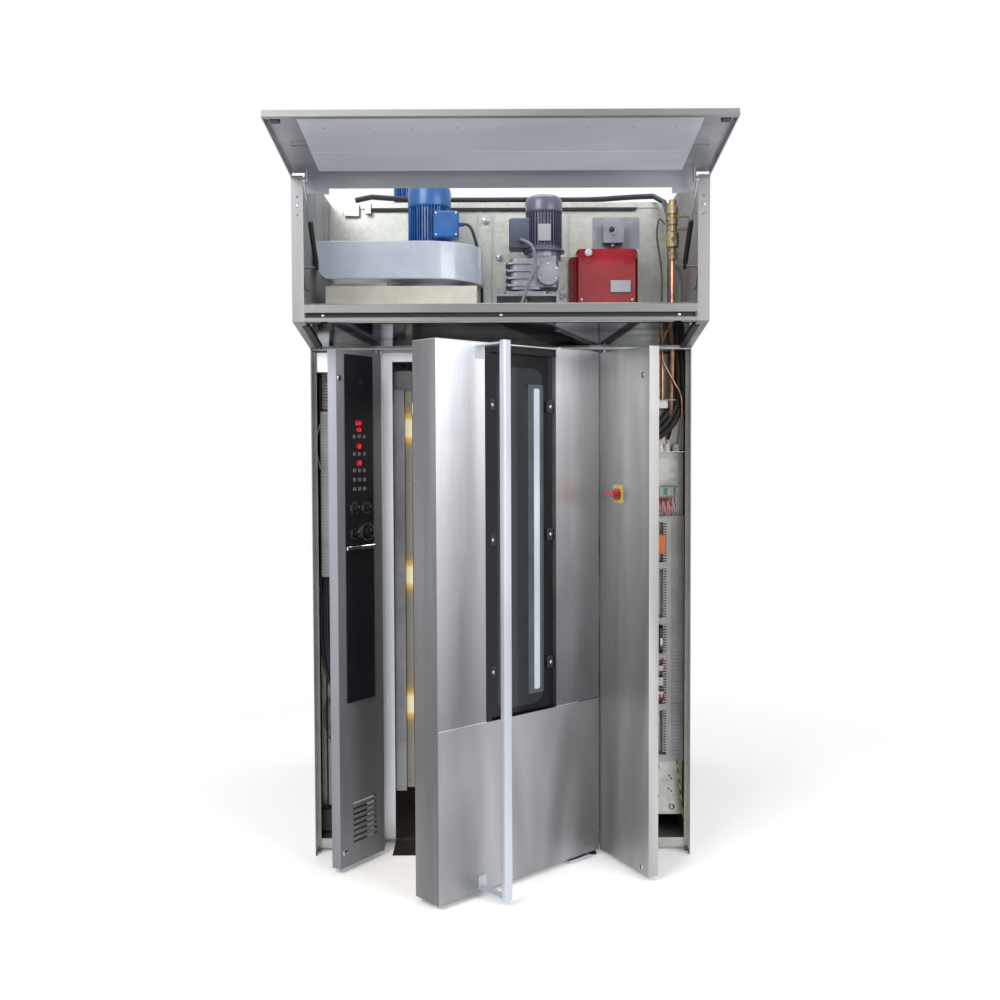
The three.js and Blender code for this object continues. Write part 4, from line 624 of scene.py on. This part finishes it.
copper = tarnished("copper_tube", "copper", 0x835743, 0xCFA086, 0.3)
dress(tarnished("cast_brass", "", 0x73654A, 0xC2B18C, 0.34), "gas_valve")
dress(copper, "gas_pipe")
brown_sheath = sprayed("brown_pvc_wire", "rubber", 0x4A3226, 0x6B4A38, 0.45)
grey_conduit = sprayed("grey_corrugated_conduit", "rubber", 0x77797D, 0x9C9EA2, 0.5)
piece("gas_valve_lead", [run([(612, 78, 2352), (592, 82, 2372), (584, 90, 2320), (592, 96, 2260),
                              (604, 104, 2180), (606, 112, 2056)], 3.4, 50)], brown_sheath, smooth=True)
piece("gas_conduit", [run([(642, 84, 2204), (662, 96, 2190), (674, 104, 2140), (676, 112, 2056)], 9, 90,
                          10, 1.1, 7.0)], grey_conduit, smooth=True)


# ---- Baking chamber ----
# Stainless lining, rolled and then tinted by years of heat. The walls are clouded and streaked in greys, and
# the floor is nearly black where the rack's wheels and old fat have baked on.
def heat_tinted(name, dark, warm, pale, roughness):
    """Three colours by cloud noise some 300 mm wide, streaked downwards by a second, finer noise."""
    made, tree, place = material(name, "dark_steel")
    cloud = noise(tree, place, 3.4, 6.0, Roughness=0.6)
    streak = noise(tree, stretched(tree, place, (26, 26, 2.6)), 1.0, 4.0)
    both = maths(tree, "MULTIPLY_ADD", streak, 0.3, cloud)
    surfaced(tree, ramp(tree, both, (0.42, dark), (0.86, pale), (0.66, warm)), roughness, Metallic=0.9)
    return made


chamber_lining = heat_tinted("heat_tinted_stainless", 0x66676B, 0x858589, 0x9FA0A4, 0.42)
dress(chamber_lining, "chamber_walls", "chamber_ceiling", "air_panel", "rack_carrier", "lamp_column")
dress(heat_tinted("baked_floor_plate", 0x282625, 0x3B3734, 0x524D48, 0.5), "chamber_floor")
glow = link("chamber_glow", bpy.data.lights.new("chamber_glow", "AREA"))
glow.data.size = 0.7
glow.data.energy = 9
glow.data.color = linear(0xFFF0DA)[:3]
glow.location = metres([-48, 640, 1700])

# Three warm lamps light the rack through the slots of a folded column just inside the mouth. A ramp over the
# height above and below each lamp's two ends paints their glow on the lamps and on a strip down the column:
# painted light, dim between the lamps. Dark louvred sheet closes the top of the mouth.
lamp_glass, tree, place = material("warm_frosted_lamp_glass", "tinted_glass")
height = add(tree, "ShaderNodeSeparateXYZ", {"Vector": place}).outputs["Z"]
frost = noise(tree, place, 60.0)
near = 1.0
for lamp_z in (0.51, 0.54, 1.015, 1.045, 1.585, 1.615):
    gap = maths(tree, "ABSOLUTE", maths(tree, "SUBTRACT", height, lamp_z))
    near = maths(tree, "MINIMUM", gap, near)
painted_lamp_glow = ranged(tree, near, 1.0, 0.0, 0.0, 0.085, interpolation_type="SMOOTHSTEP")
tone = ramp(tree, maths(tree, "MULTIPLY_ADD", frost, 0.12, painted_lamp_glow), (0.1, 0x85816F), (1, 0xFFF3C4),
            (0.45, 0xA58B58), (0.86, 0xE8C268))
surfaced(tree, tone, 0.3, Emission_Color=tone, Emission_Strength=0.55)
column_face = facing(208, -358)
piece("chamber_lamps", [plate(facing(223, -358), -9.5, 9.5, z + 5, z + 105, -9, 10, 6, 4)
                        for z in (470, 975, 1545)], lamp_glass)
# The strip down the column carries the lamps' painted glow.
piece("lamp_column_painted_glow", [plate(column_face, -12.5, 12.5, 200, 1742, -0.5, 1.2, 2, 0.6)], lamp_glass)
screws("lamp_column_screws", column_face, [(0, z) for z in (1690, 1400, 900, 400, 225)], 1, 4, 2.2)
slats = [run([(x, 214, 1822), (x + 5, 214, 1836), (x + 10, 214, 1848)], 2, 3, 6)
         for x in np.arange(-550, 480, 11)]
piece("mouth_louvre", slats, moulded_black, slot="dark_steel")
piece("mouth_baffle", [plate(facing(214), -557, -344, 1743, 1822, 0, 2, 2, 0.6)], chamber_lining)

# ---- Main door ----
# A hollow stainless leaf with a tall double-glazed window set deep in it. The outer pane has a black fired-on
# border that fades inwards in dots, and seven black clips hold it. A full-height square tube is the handle.
door_pivot = np.array([334, 25, 0])
door_turn = np.radians(42.7)
door_along = np.array([np.cos(door_turn), np.sin(door_turn), 0])
door_out = np.array([np.sin(door_turn), -np.cos(door_turn), 0])
door_face = outward(door_pivot + 25 * door_out, door_out)
door_edge = outward(door_pivot - 765 * door_along, -door_along)
tinted, tree, place = material("tinted_float_glass")
grease = noise(tree, stretched(tree, place, (5, 5, 0.9)), 1.0, 4.0)
surfaced(tree, ramp(tree, grease, (0, 0x161C22), (1, 0x39434B)), ranged(tree, grease, 0.03, 0.12), IOR=1.52,
         Transmission_Weight=0.35)
dress(tinted, "door_outer_glass", "door_inner_glass")
dress(clouded("silicone_gasket", "", 0x1B1A19, 0x3D3A36, 0.6, 22.0, 5.0), "door_gasket")
fired_black = clouded("fired_on_black_enamel", "tinted_glass", 0x07080A, 0x1A1B1F, 0.12, 12.0,
                      Specular_IOR_Level=0.3)
lit_strip = clouded("lit_opal_glass", "tinted_glass", 0x8E98A4, 0xDDE6EE, 0.25, 1.0, stretch=(1, 1, 2.6),
                    Emission_Strength=0.25)
frosted = sprayed("frosted_lamp_channel", "tinted_glass", 0x3E464A, 0x586064, 0.3, 0.3)


def ring(axes, outer, inner, n0, n1, outer_corner, inner_corner):
    """A flat frame between two rounded rectangles (u0, u1, v0, v1), as four skins of one section carried
    round."""
    turn = np.concatenate([np.linspace(0, np.pi / 2, 7) + k * np.pi / 2 for k in range(4)])

    def outline(box, corner):
        u = np.repeat([box[1] - corner, box[0] + corner, box[0] + corner, box[1] - corner], 7)
        v = np.repeat([box[3] - corner, box[3] - corner, box[2] + corner, box[2] + corner], 7)
        return u + corner * np.cos(turn), v + corner * np.sin(turn)

    points = np.array([on(axes, *outline(box, corner), n)
                       for box, corner, n in ((outer, outer_corner, n0), (outer, outer_corner, n1),
                                              (inner, inner_corner, n1), (inner, inner_corner, n0))])
    sides = points.shape[1]
    row = np.arange(4)[:, None] * sides
    nxt = (np.arange(4)[:, None] + 1) % 4 * sides
    here, after = np.arange(sides)[None, :], (np.arange(sides)[None, :] + 1) % sides
    quads = np.stack([row + here, row + after, nxt + after, nxt + here], -1).reshape(-1, 4)
    return points.reshape(-1, 3), quads.tolist()


def grown(u, v, half_u, half_v=None):
    """The box (u0, u1, v0, v1) of the given half widths round a place."""
    half_v = half_u if half_v is None else half_v
    return u - half_u, u + half_u, v - half_v, v + half_v


# The window lies from 213 to 529 mm off the hinge, from 550 to 1845 mm up, with the pane 20 mm in.
left, right, low, high = -529, -213, 551, 1844
pane = outward(door_pivot + 5.4 * door_out, door_out)
piece("window_border", [ring(pane, (left + 1, right - 1, low + 1, high - 1),
                             (left + 48, right - 44, low + 64, high - 46), 0, 0.8, 3, 46)], fired_black,
      "main_door")
dot_u = np.repeat([left + 53, right - 49], 150)
dot_v = np.tile(np.linspace(low + 110, high - 90, 150), 2)
piece("window_border_dots", studs(pane, list(zip(dot_u, dot_v)), -0.1, 2.3, 0.7, 6), fired_black, "main_door")
clips = [(-511, z) for z in (1666, 1207, 755)] + [(-232, z) for z in (1666, 1213, 755)] + [(-436, 585)]
piece("window_clips", [plate(pane, *grown(u, v, 15, 22), 0.2, 11, 7, 3) for u, v in clips], moulded_black,
      "main_door")
screws("window_clip_screws", pane, clips, 10.5, 6.5, 3.5, "main_door", 16)
edge_places = [(9, z) for z in np.arange(1317, 60, -106)]
piece("door_edge_screws", studs(door_edge, edge_places, -0.4, 3.4, 1.6), edge_steel, "main_door", smooth=True)
sweeper = outward(door_pivot - 60 * door_out, door_out)


def plates(body, *rows):
    """Pieces made of plates: a row holds the piece's name, finish and flat frame and its plates' boxes."""
    for name, finish, axes, boxes in rows:
        piece(name, [plate(axes, *box) for box in boxes], finish, body)


plates(
    "main_door",
    ("window_reflector", lit_strip, pane, [(-304, -276, 665, 1729, -1, 0.5, 8, 0.4)]),
    ("window_lamp_channel", frosted, pane, [(-332, -250, 652, 1742, -1.2, 0.2, 6, 0.3)]),
    ("window_cover_glass", fired_black, door_face, [(-552, -527, 591, 1869, -0.3, 1.2, 1, 0.5),
                                                    (-527, -212, 1842, 1869, -0.3, 1.2, 1, 0.5)]),
    ("door_top_trim", profile_steel, door_face, [(-764, -500, 1870, 1873, -0.5, 1.6, 1, 0.4)]),
    ("door_edge_skin", edge_steel, door_edge, [(-94, 24, 19, 1872, -0.3, 0.5, 1, 0.3)]),
    ("door_lower_skin", lower_steel, door_face, [(-764.5, 11, 19, 591, -0.4, 1.1, 1.5, 0.6)]),
    ("door_seam", profile_steel, door_face, [(-764, -530, 591, 593.6, -0.5, 1.1, 1, 0.3),
                                             (-212, -100, 591, 593.6, -0.5, 1.1, 1, 0.3)]),
    ("door_seam_gap", black_rubber_and_shade, door_face, [(-100, 10, 591, 594, -0.5, 0.3, 1.2, 0.2)]),
    ("door_hinge_arm", profile_steel, door_face, [(-152, -44, 9, 15, -20, 12, 3, 1.5)]),
    ("door_sweeper", black_rubber_and_shade, sweeper, [(-750, -20, 10, 30, -3, 3, 2, 1)]),
)

# ---- Control panel ----
# A narrow stainless leaf with a black printed-foil fascia: four red number windows, fifteen keys, two
# selectors, a light switch and a timer. A turned-up chrome lip ends the upper foil; the lower foil is bare.
panel_turn = np.radians(56)
panel_pivot = np.array([-460, 15, 0])
panel_out = np.array([np.sin(panel_turn), -np.cos(panel_turn), 0])
foil_face = outward(panel_pivot + 18.4 * panel_out, panel_out)
control_face = outward(panel_pivot + 15 * panel_out, panel_out)
foil = clouded("black_polyester_foil", "", 0x1D1D23, 0x303039, 0.32, 6.0, 4.0,
               relief=(700.0, 1.0, 0.1, 0.0002))
red_window = clouded("red_filter_window", "red_cover", 0x8E0E1C, 0xF02840, 0.12, 1.0, 1.0,
                     stretch=(90, 90, 60), ends=(0.42, 0.58), Emission_Strength=0.9)
grey_key = clouded("grey_printed_key", "black_plastic", 0x74767E, 0xA8AAB2, 0.4, 120.0)
white_print = clouded("white_screen_print", "device_plastic", 0xC4C6CC, 0xEDEEF2, 0.45, 300.0)
dress(foil, "control_fascia")
dress(moulded_black, "steam_selector_knob", "mode_selector_knob", "light_knob", "timer_dial")
windows = [(-121, 1613, 17, 8), (-121, 1588, 12, 7), (-121, 1530, 12, 9), (-121, 1469, 12, 9)]
piece("number_windows", [plate(foil_face, *grown(*window), -0.2, 1.2, 3, 0.5) for window in windows],
      red_window, "control_panel")
keys = [(u, v) for v in (1564, 1502, 1442, 1409, 1376) for u in (-146, -119, -92)]
piece("fascia_keys", [plate(foil_face, *grown(u, v, 7.5, 6.5), -0.2, 2, 3, 0.8) for u, v in keys], grey_key,
      "control_panel")
ticks = []
for u, v, radius, count in ((-147, 1306, 23, 9), (-85, 1306, 23, 9), (-85, 1220, 27, 13)):
    for angle in np.radians(np.linspace(-135, 135, count)):
        centre = on(foil_face, *(np.array(place) for place in (
            u + radius * np.sin(angle), v + radius * np.cos(angle), 0.0)))
        ticks += studs(outward(centre, panel_out), [(0, 0)], -0.1, 1.5, 0.6, 6)
piece("dial_marks", ticks, white_print, "control_panel")
for name, u, v, height in (("steam_selector", -147, 1306, 21), ("mode_selector", -85, 1306, 21),
                           ("light_selector", -147, 1216, 17), ("timer", -85, 1220, 23)):
    piece(f"{name}_line", [plate(foil_face, u - 1, u + 1, v + 3, v + 10, 0.4 + height - 0.3,
                                 0.4 + height + 0.4, 0.6, 0.2)], white_print, name)
collars = [ring(foil_face, grown(u, v, 19.5), grown(u, v, 17), -0.2, 4, 19.4, 16.9)
           for u, v in ((-147, 1306), (-85, 1306), (-147, 1216))]
piece("timer_bezel", [ring(foil_face, grown(-85, 1220, 33), grown(-85, 1220, 28.5), -0.2, 8, 32.9, 28.4)]
      + collars, bright_steel, "control_panel")
piece("fascia_lip", [plate(foil_face, -195, -42, 1157, 1172, 1.5, 8.4, 3, 2.4)], bright_steel,
      "control_panel")
piece("fascia_key_hole", [ring(foil_face, grown(-113, 1760, 9), grown(-113, 1760, 5), -0.2, 1.6, 8.9, 4.9)],
      bright_steel, "control_panel")


def quarter_turns(name, axes, places, body):
    """Slotted quarter-turn locks: a chromed collar and, over its slot, a low bar."""
    screws(f"{name}_collars", axes, places, -0.4, 11, 4, body, 20)
    piece(f"{name}_slots", [plate(axes, *grown(u, v, 1.6, 8), 3, 5.4, 1, 0.5) for u, v in places],
          moulded_black, body)


piece("louvre_baffle", [plate(control_face, -206, -84, 40, 222, -8, -3.6, 3, 1)], moulded_black,
      "control_panel")
quarter_turns("control_panel_lock", control_face, [(-219, 1769), (-211, 72)], "control_panel")

# ---- Left cabinet ----
# Control wiring on a galvanised mounting sheet behind the control panel: terminals above, slotted grey
# trunking down the side, black power leads beside a grey cover, and a small moulded box at the bottom.
white_nylon = sprayed("white_nylon_gland", "device_plastic", 0xC9CBCC, 0xE9EAEA, 0.4)
trunking = sprayed("grey_pvc_trunking", "device_plastic", 0xA3A5A4, 0xC3C5C4, 0.5)
cabinet_back, stop_face, edge_face = facing(139.6), facing(48), facing(42)
plates(
    "oven",
    ("left_mounting_sheet", spangle, cabinet_back, [(-694, -456, 54, 1878, 0, 2.4, 2, 0.5)]),
    ("left_lower_cover", trunking, cabinet_back, [(-672, -470, 160, 716, 30, 34, 3, 1.5),
                                                  (-672, -664, 160, 716, 2, 34, 2, 1)]),
    ("left_small_box", moulded_black, cabinet_back, [(-690, -632, 66, 150, 2, 58, 6, 3)]),
    ("left_stop_flange", profile_steel, stop_face, [(-696, -640, 1806, 1878, -1, 1.2, 1, 0.4)]),
    ("stop_flange_caps", plinth_paint, edge_face, [(684.5, 697.5, 20, 1878, -0.4, 0.8, 0.5, 0.3),
                                                   (-697.5, -684.5, 20, 1878, -0.4, 0.8, 0.5, 0.3)]),
)
strips = [plate(outward([side * 697, 21.5, 0], (-side, 0, 0)), -19.5, 19.5, 20, 1880, -0.3, 0.6, 1, 0.3)
          for side in (-1, 1)]
piece("inner_side_strips", strips, white_nylon, slot="cream_plinth")
# Black discs stand in for the flange's holes: painted shade inside them.
piece("left_flange_holes", studs(stop_face, [(-690, z) for z in (1858, 1844, 1830, 1816)], 0.4, 2.6, 1, 10),
      moulded_black)
piece("left_terminals", [plate(cabinet_back, -690, -640, z, z + 9, 2, 34, 1.5, 1)
                         for z in np.arange(1672, 1810, 11)], plinth_paint, slot="device_plastic")
slots = [plate(cabinet_back, -675, -642, z, z + 7, 73, 77, 1, 0.6) for z in np.arange(1046, 1652, 12)]
piece("left_trunking", [plate(cabinet_back, -677, -640, 1040, 1660, 2, 74, 2, 1)] + slots, trunking)
leads = [run([(-670 + 10 * k, 98 - 4 * k, 1040), (-676 + 9 * k, 84, 940), (-676 + 9 * k, 76, 820 - 10 * k),
              (-655 + 8 * k, 76, 690 - 8 * k), (-610, 88, 590 - 14 * k), (-520, 110, 560 - 14 * k)], 7, 80)
         for k in range(3)]
leads.append(run([(-682, 100, 1800), (-682, 92, 1500), (-682, 88, 1100), (-683, 76, 900), (-674, 66, 740),
                  (-640, 70, 620), (-560, 96, 540)], 7, 120))
thin_leads = [run([(-640, 96, 600 - 9 * k), (-668 + 6 * k, 80, 560), (-676 + 7 * k, 78, 500 + 12 * k),
                   (-660, 82, 430), (-630, 96, 410 + 14 * k)], 1.6, 40, 6) for k in range(3)]
red_wires = [run([(-676 + 5 * k, 108, 1668), (-680 + 4 * k, 88, 1664 - 6 * k), (-676 + 6 * k, 78, 1650)], 1.6,
                 16, 6) for k in range(6)]
pale_wire = run([(-678, 66, 1612), (-689, 60, 1565), (-691, 58, 1515), (-678, 66, 1446)], 2.2, 30, 8)
piece("left_power_leads", leads, insulation, smooth=True)
piece("left_thin_leads", thin_leads, insulation, smooth=True)
piece("left_red_wires", red_wires, gloss_red, smooth=True)
piece("left_pale_wire", [pale_wire], white_nylon, slot="rubber", smooth=True)

# ---- Switch panel ----
# The narrow right leaf carries the main switch, a moulded yellow plate screwed on at its corners with a red
# rotary handle that takes a padlock. Two quarter-turn locks close the leaf.
switch_turn = np.radians(63.3)
switch_out = np.array([-np.sin(switch_turn), -np.cos(switch_turn), 0])
switch_face = outward(np.array([381, 15, 0]) + 15 * switch_out, switch_out)
yellow = clouded("yellow_moulded_polycarbonate", "yellow_plate", 0xBFAE50, 0xD8C96C, 0.4, 30.0, 4.0)
dress(yellow, "main_switch_plate")
quarter_turns("switch_panel_lock", switch_face, [(274, 1771), (270, 41)], "switch_panel")
screws("main_switch_screws", switch_face, [(121 + a, 1354 + b) for a in (-26, 26) for b in (-26, 26)],
       3, 3.4, 2, "switch_panel")

# ---- Right cabinet ----
# The power cabinet: rows of clip-on devices between slotted ducts on a galvanised plate, with pipes, a
# corrugated hose and cable glands above its folded top.
device_grey = sprayed("light_grey_device_moulding", "device_plastic", 0xA3A299, 0xC6C5BD, 0.5)
device_dark = sprayed("dark_grey_device_moulding", "dark_device_plastic", 0x202226, 0x34363B, 0.45)
orange = sprayed("orange_relay_moulding", "red_cover", 0xC2571E, 0xE07A36, 0.35, 0.1)
green = sprayed("green_marker_strip", "device_plastic", 0x2B7048, 0x489A6C, 0.4)
dress(device_grey, "terminal_row", "breaker_row")
dress(device_dark, "relay_row", "contactor_row")
dress(trunking, "wiring_ducts")
contactor_front, breaker_front, clip_row = facing(46), facing(58), facing(76)
duct_front, plate_front = facing(82), facing(132)
fuses = (560, 576, 592)
fingers = [(608, 623, z, z + 5.5, -44, 0.3, 1, 0.4) for z in np.arange(366, 1240, 10)]
plates(
    "oven",
    ("right_mounting_sheet", spangle, cabinet_back, [(392, 694, 1512, 1878, 0, 2.4, 2, 0.5)]),
    ("orange_relay", orange, facing(62), [(584, 612, 1124, 1196, -2, 16, 3, 2)]),
    ("contactor_markers", green, contactor_front, [(402, 607, z, z + 4, -2, 4, 1, 0.5) for z in (616, 671)]),
    ("contactor_faces", trunking, contactor_front, [(u, u + 21, v0, v1, -1, 5, 2, 1) for u in (560, 584)
                                                    for v0, v1 in ((628, 660), (584, 606), (684, 704))]),
    ("fuse_holders", device_dark, breaker_front, [(u, u + 14, 760, 842, -70, 4, 2, 1) for u in fuses]),
    ("fuse_carriers", white_nylon, breaker_front, [(u + 2.5, u + 11.5, 782, 806, 3.5, 8, 2, 1)
                                                   for u in fuses]),
    ("fuse_labels", yellow, breaker_front, [(u + 3, u + 11, 776, 780, 3.5, 4.8, 1, 0.4) for u in fuses]),
    ("spare_rail", zinc, plate_front, [(402, 606, 466, 500, -0.4, 8, 2, 1)]),
    ("duct_combs", trunking, duct_front, [(642, 686, z, z + 6, -0.4, 5, 1, 0.5)
                                          for z in np.arange(350, 1250, 14)]),
    ("comb_duct", trunking, duct_front, [(622, 642.5, 344, 1248, -49, 0.2, 1, 0.5)] + fingers),
    ("comb_duct_wires", moulded_black, duct_front, [(615, 622, 360, 1244, -30, -5, 1, 0.5)]),
    ("terminal_blocks", device_grey, clip_row, [(580 + 7.4 * k, 586.4 + 7.4 * k, 1334, 1380, -40, 3, 1, 0.5)
                                                for k in range(11)]),
    ("terminal_markers", green, clip_row, [(580.5 + 7.4 * k, 585.9 + 7.4 * k, 1344, 1370, 2.8, 4.6, 1, 0.4)
                                           for k in (1, 4, 5, 9)]),
)
piece("pipe_bracket", [plate(facing(74), 560, 652, 1668, 1700, 0, 3, 2, 1),
                       plate(upward(0, 74, 1698), 560, 652, -22, 60, 0, 2.5, 2, 1)], spangle)
hole_places = [(588, 300), (600, 300), (588, 292), (600, 292), (650, 330), (642, 260), (650, 250), (640, 210),
               (650, 200), (588, 180), (600, 180)]
# Black discs stand in for the plate's holes: painted shade inside them.
piece("plate_holes", studs(plate_front, hole_places, -0.2, 3.4, 0.8, 10), moulded_black)
screws("plate_bolts", plate_front, [(652, 140), (420, 140)], -0.3, 11, 5, sides=18)
piece("terminal_screws", studs(clip_row, [(583.2 + 7.4 * k, v) for k in range(11) for v in (1339, 1375)], 2.8,
                               2.2, 1, 8), moulded_black)
contactor_leads = [run([(584 + 6 * k, 52, 612), (582 + 6 * k + 3 * (k % 2), 42, 594), (586 + 6 * k, 50, 572),
                        (588 + 6 * k, 92, 560)], 2, 18, 6) for k in range(5)]
contactor_leads += [run([(596 + 5 * k, 60, 706), (599 + 5 * k, 46, 716), (602 + 5 * k, 60, 728)], 2, 12, 6)
                    for k in range(2)]
piece("contactor_red_wires", contactor_leads, gloss_red, smooth=True)
red_loops = [run([(586 + 9 * k, 80, 1336), (582 + 9 * k + 5 * (k % 2), 60, 1312),
                  (590 + 9 * k, 56, 1284 - 4 * (k % 3)), (586 + 9 * k, 92, 1262)], 2.2, 20, 6)
             for k in range(8)]
piece("cabinet_red_wires", red_loops, gloss_red, smooth=True)
hoses = [run([(640 + 18 * k, 92 - 5 * k, 1878), (644 + 19 * k, 84 - 5 * k, 1790),
              (642 + 17 * k, 78 - 5 * k, 1690), (606 + 15 * k, 76 - 4 * k, 1630 - 14 * k),
              (560 + 12 * k, 80, 1588 - 16 * k), (500 + 30 * k, 84, 1534)], 12, 150, 12, 1.4, 6.0)
         for k in range(3)]
piece("corrugated_hose", hoses, black_rubber_and_shade, smooth=True)
tubes = [run([(601, 62, 1878), (601, 62, 1800), (601, 62, 1698)], 7.5, 30),
         run([(600, 50, 1878), (603, 48, 1840), (640, 46, 1770), (668, 46, 1716), (672, 50, 1640),
              (660, 84, 1534)], 3.4, 80),
         run([(622, 84, 1534), (618, 70, 1570), (634, 66, 1610), (650, 100, 1650)], 3, 40)]
piece("capillary_tubes", tubes, copper, smooth=True)
gland_profile = [(13, -0.4), (13, 12), (11, 15), (11, 25), (8, 29)]
gland_turn = np.linspace(0, 2 * np.pi, 16, endpoint=False)
gland_top = upward(0, 84, 1507)
piece("white_glands", [loft(np.array([on(gland_top, x + r * np.cos(gland_turn), r * np.sin(gland_turn), n)
                                      for r, n in gland_profile])) for x in (597, 622, 660)], white_nylon)
earth, tree, place = material("green_yellow_earth_wire", "rubber")
spiral = add(tree, "ShaderNodeTexWave", {"Vector": place, "Scale": 18.0}, bands_direction="DIAGONAL")
tone = ramp(tree, spiral.outputs["Fac"], (0, 0x2C7A3A), (0.5, 0xD6C83A))
tone.node.color_ramp.interpolation = "CONSTANT"
surfaced(tree, tone, 0.4)
piece("earth_wire", [run([(664, 78, 346), (662, 66, 320), (672, 62, 240), (684, 76, 150), (690, 96, 112)], 3,
                         40)], earth, smooth=True)

# ---- Rear ----
# The rear panel, galvanised sheet like the machine space, is screwed on along its two upright edges with
# zinc-plated screws.
edge_screws = [(u, v) for u in (-682, 682) for v in np.arange(80, 2480, 240)]
screws("rear_panel_screws", outward([0, 1350, 0], (0, 1, 0)), edge_screws, -0.4, 7, 3.5)
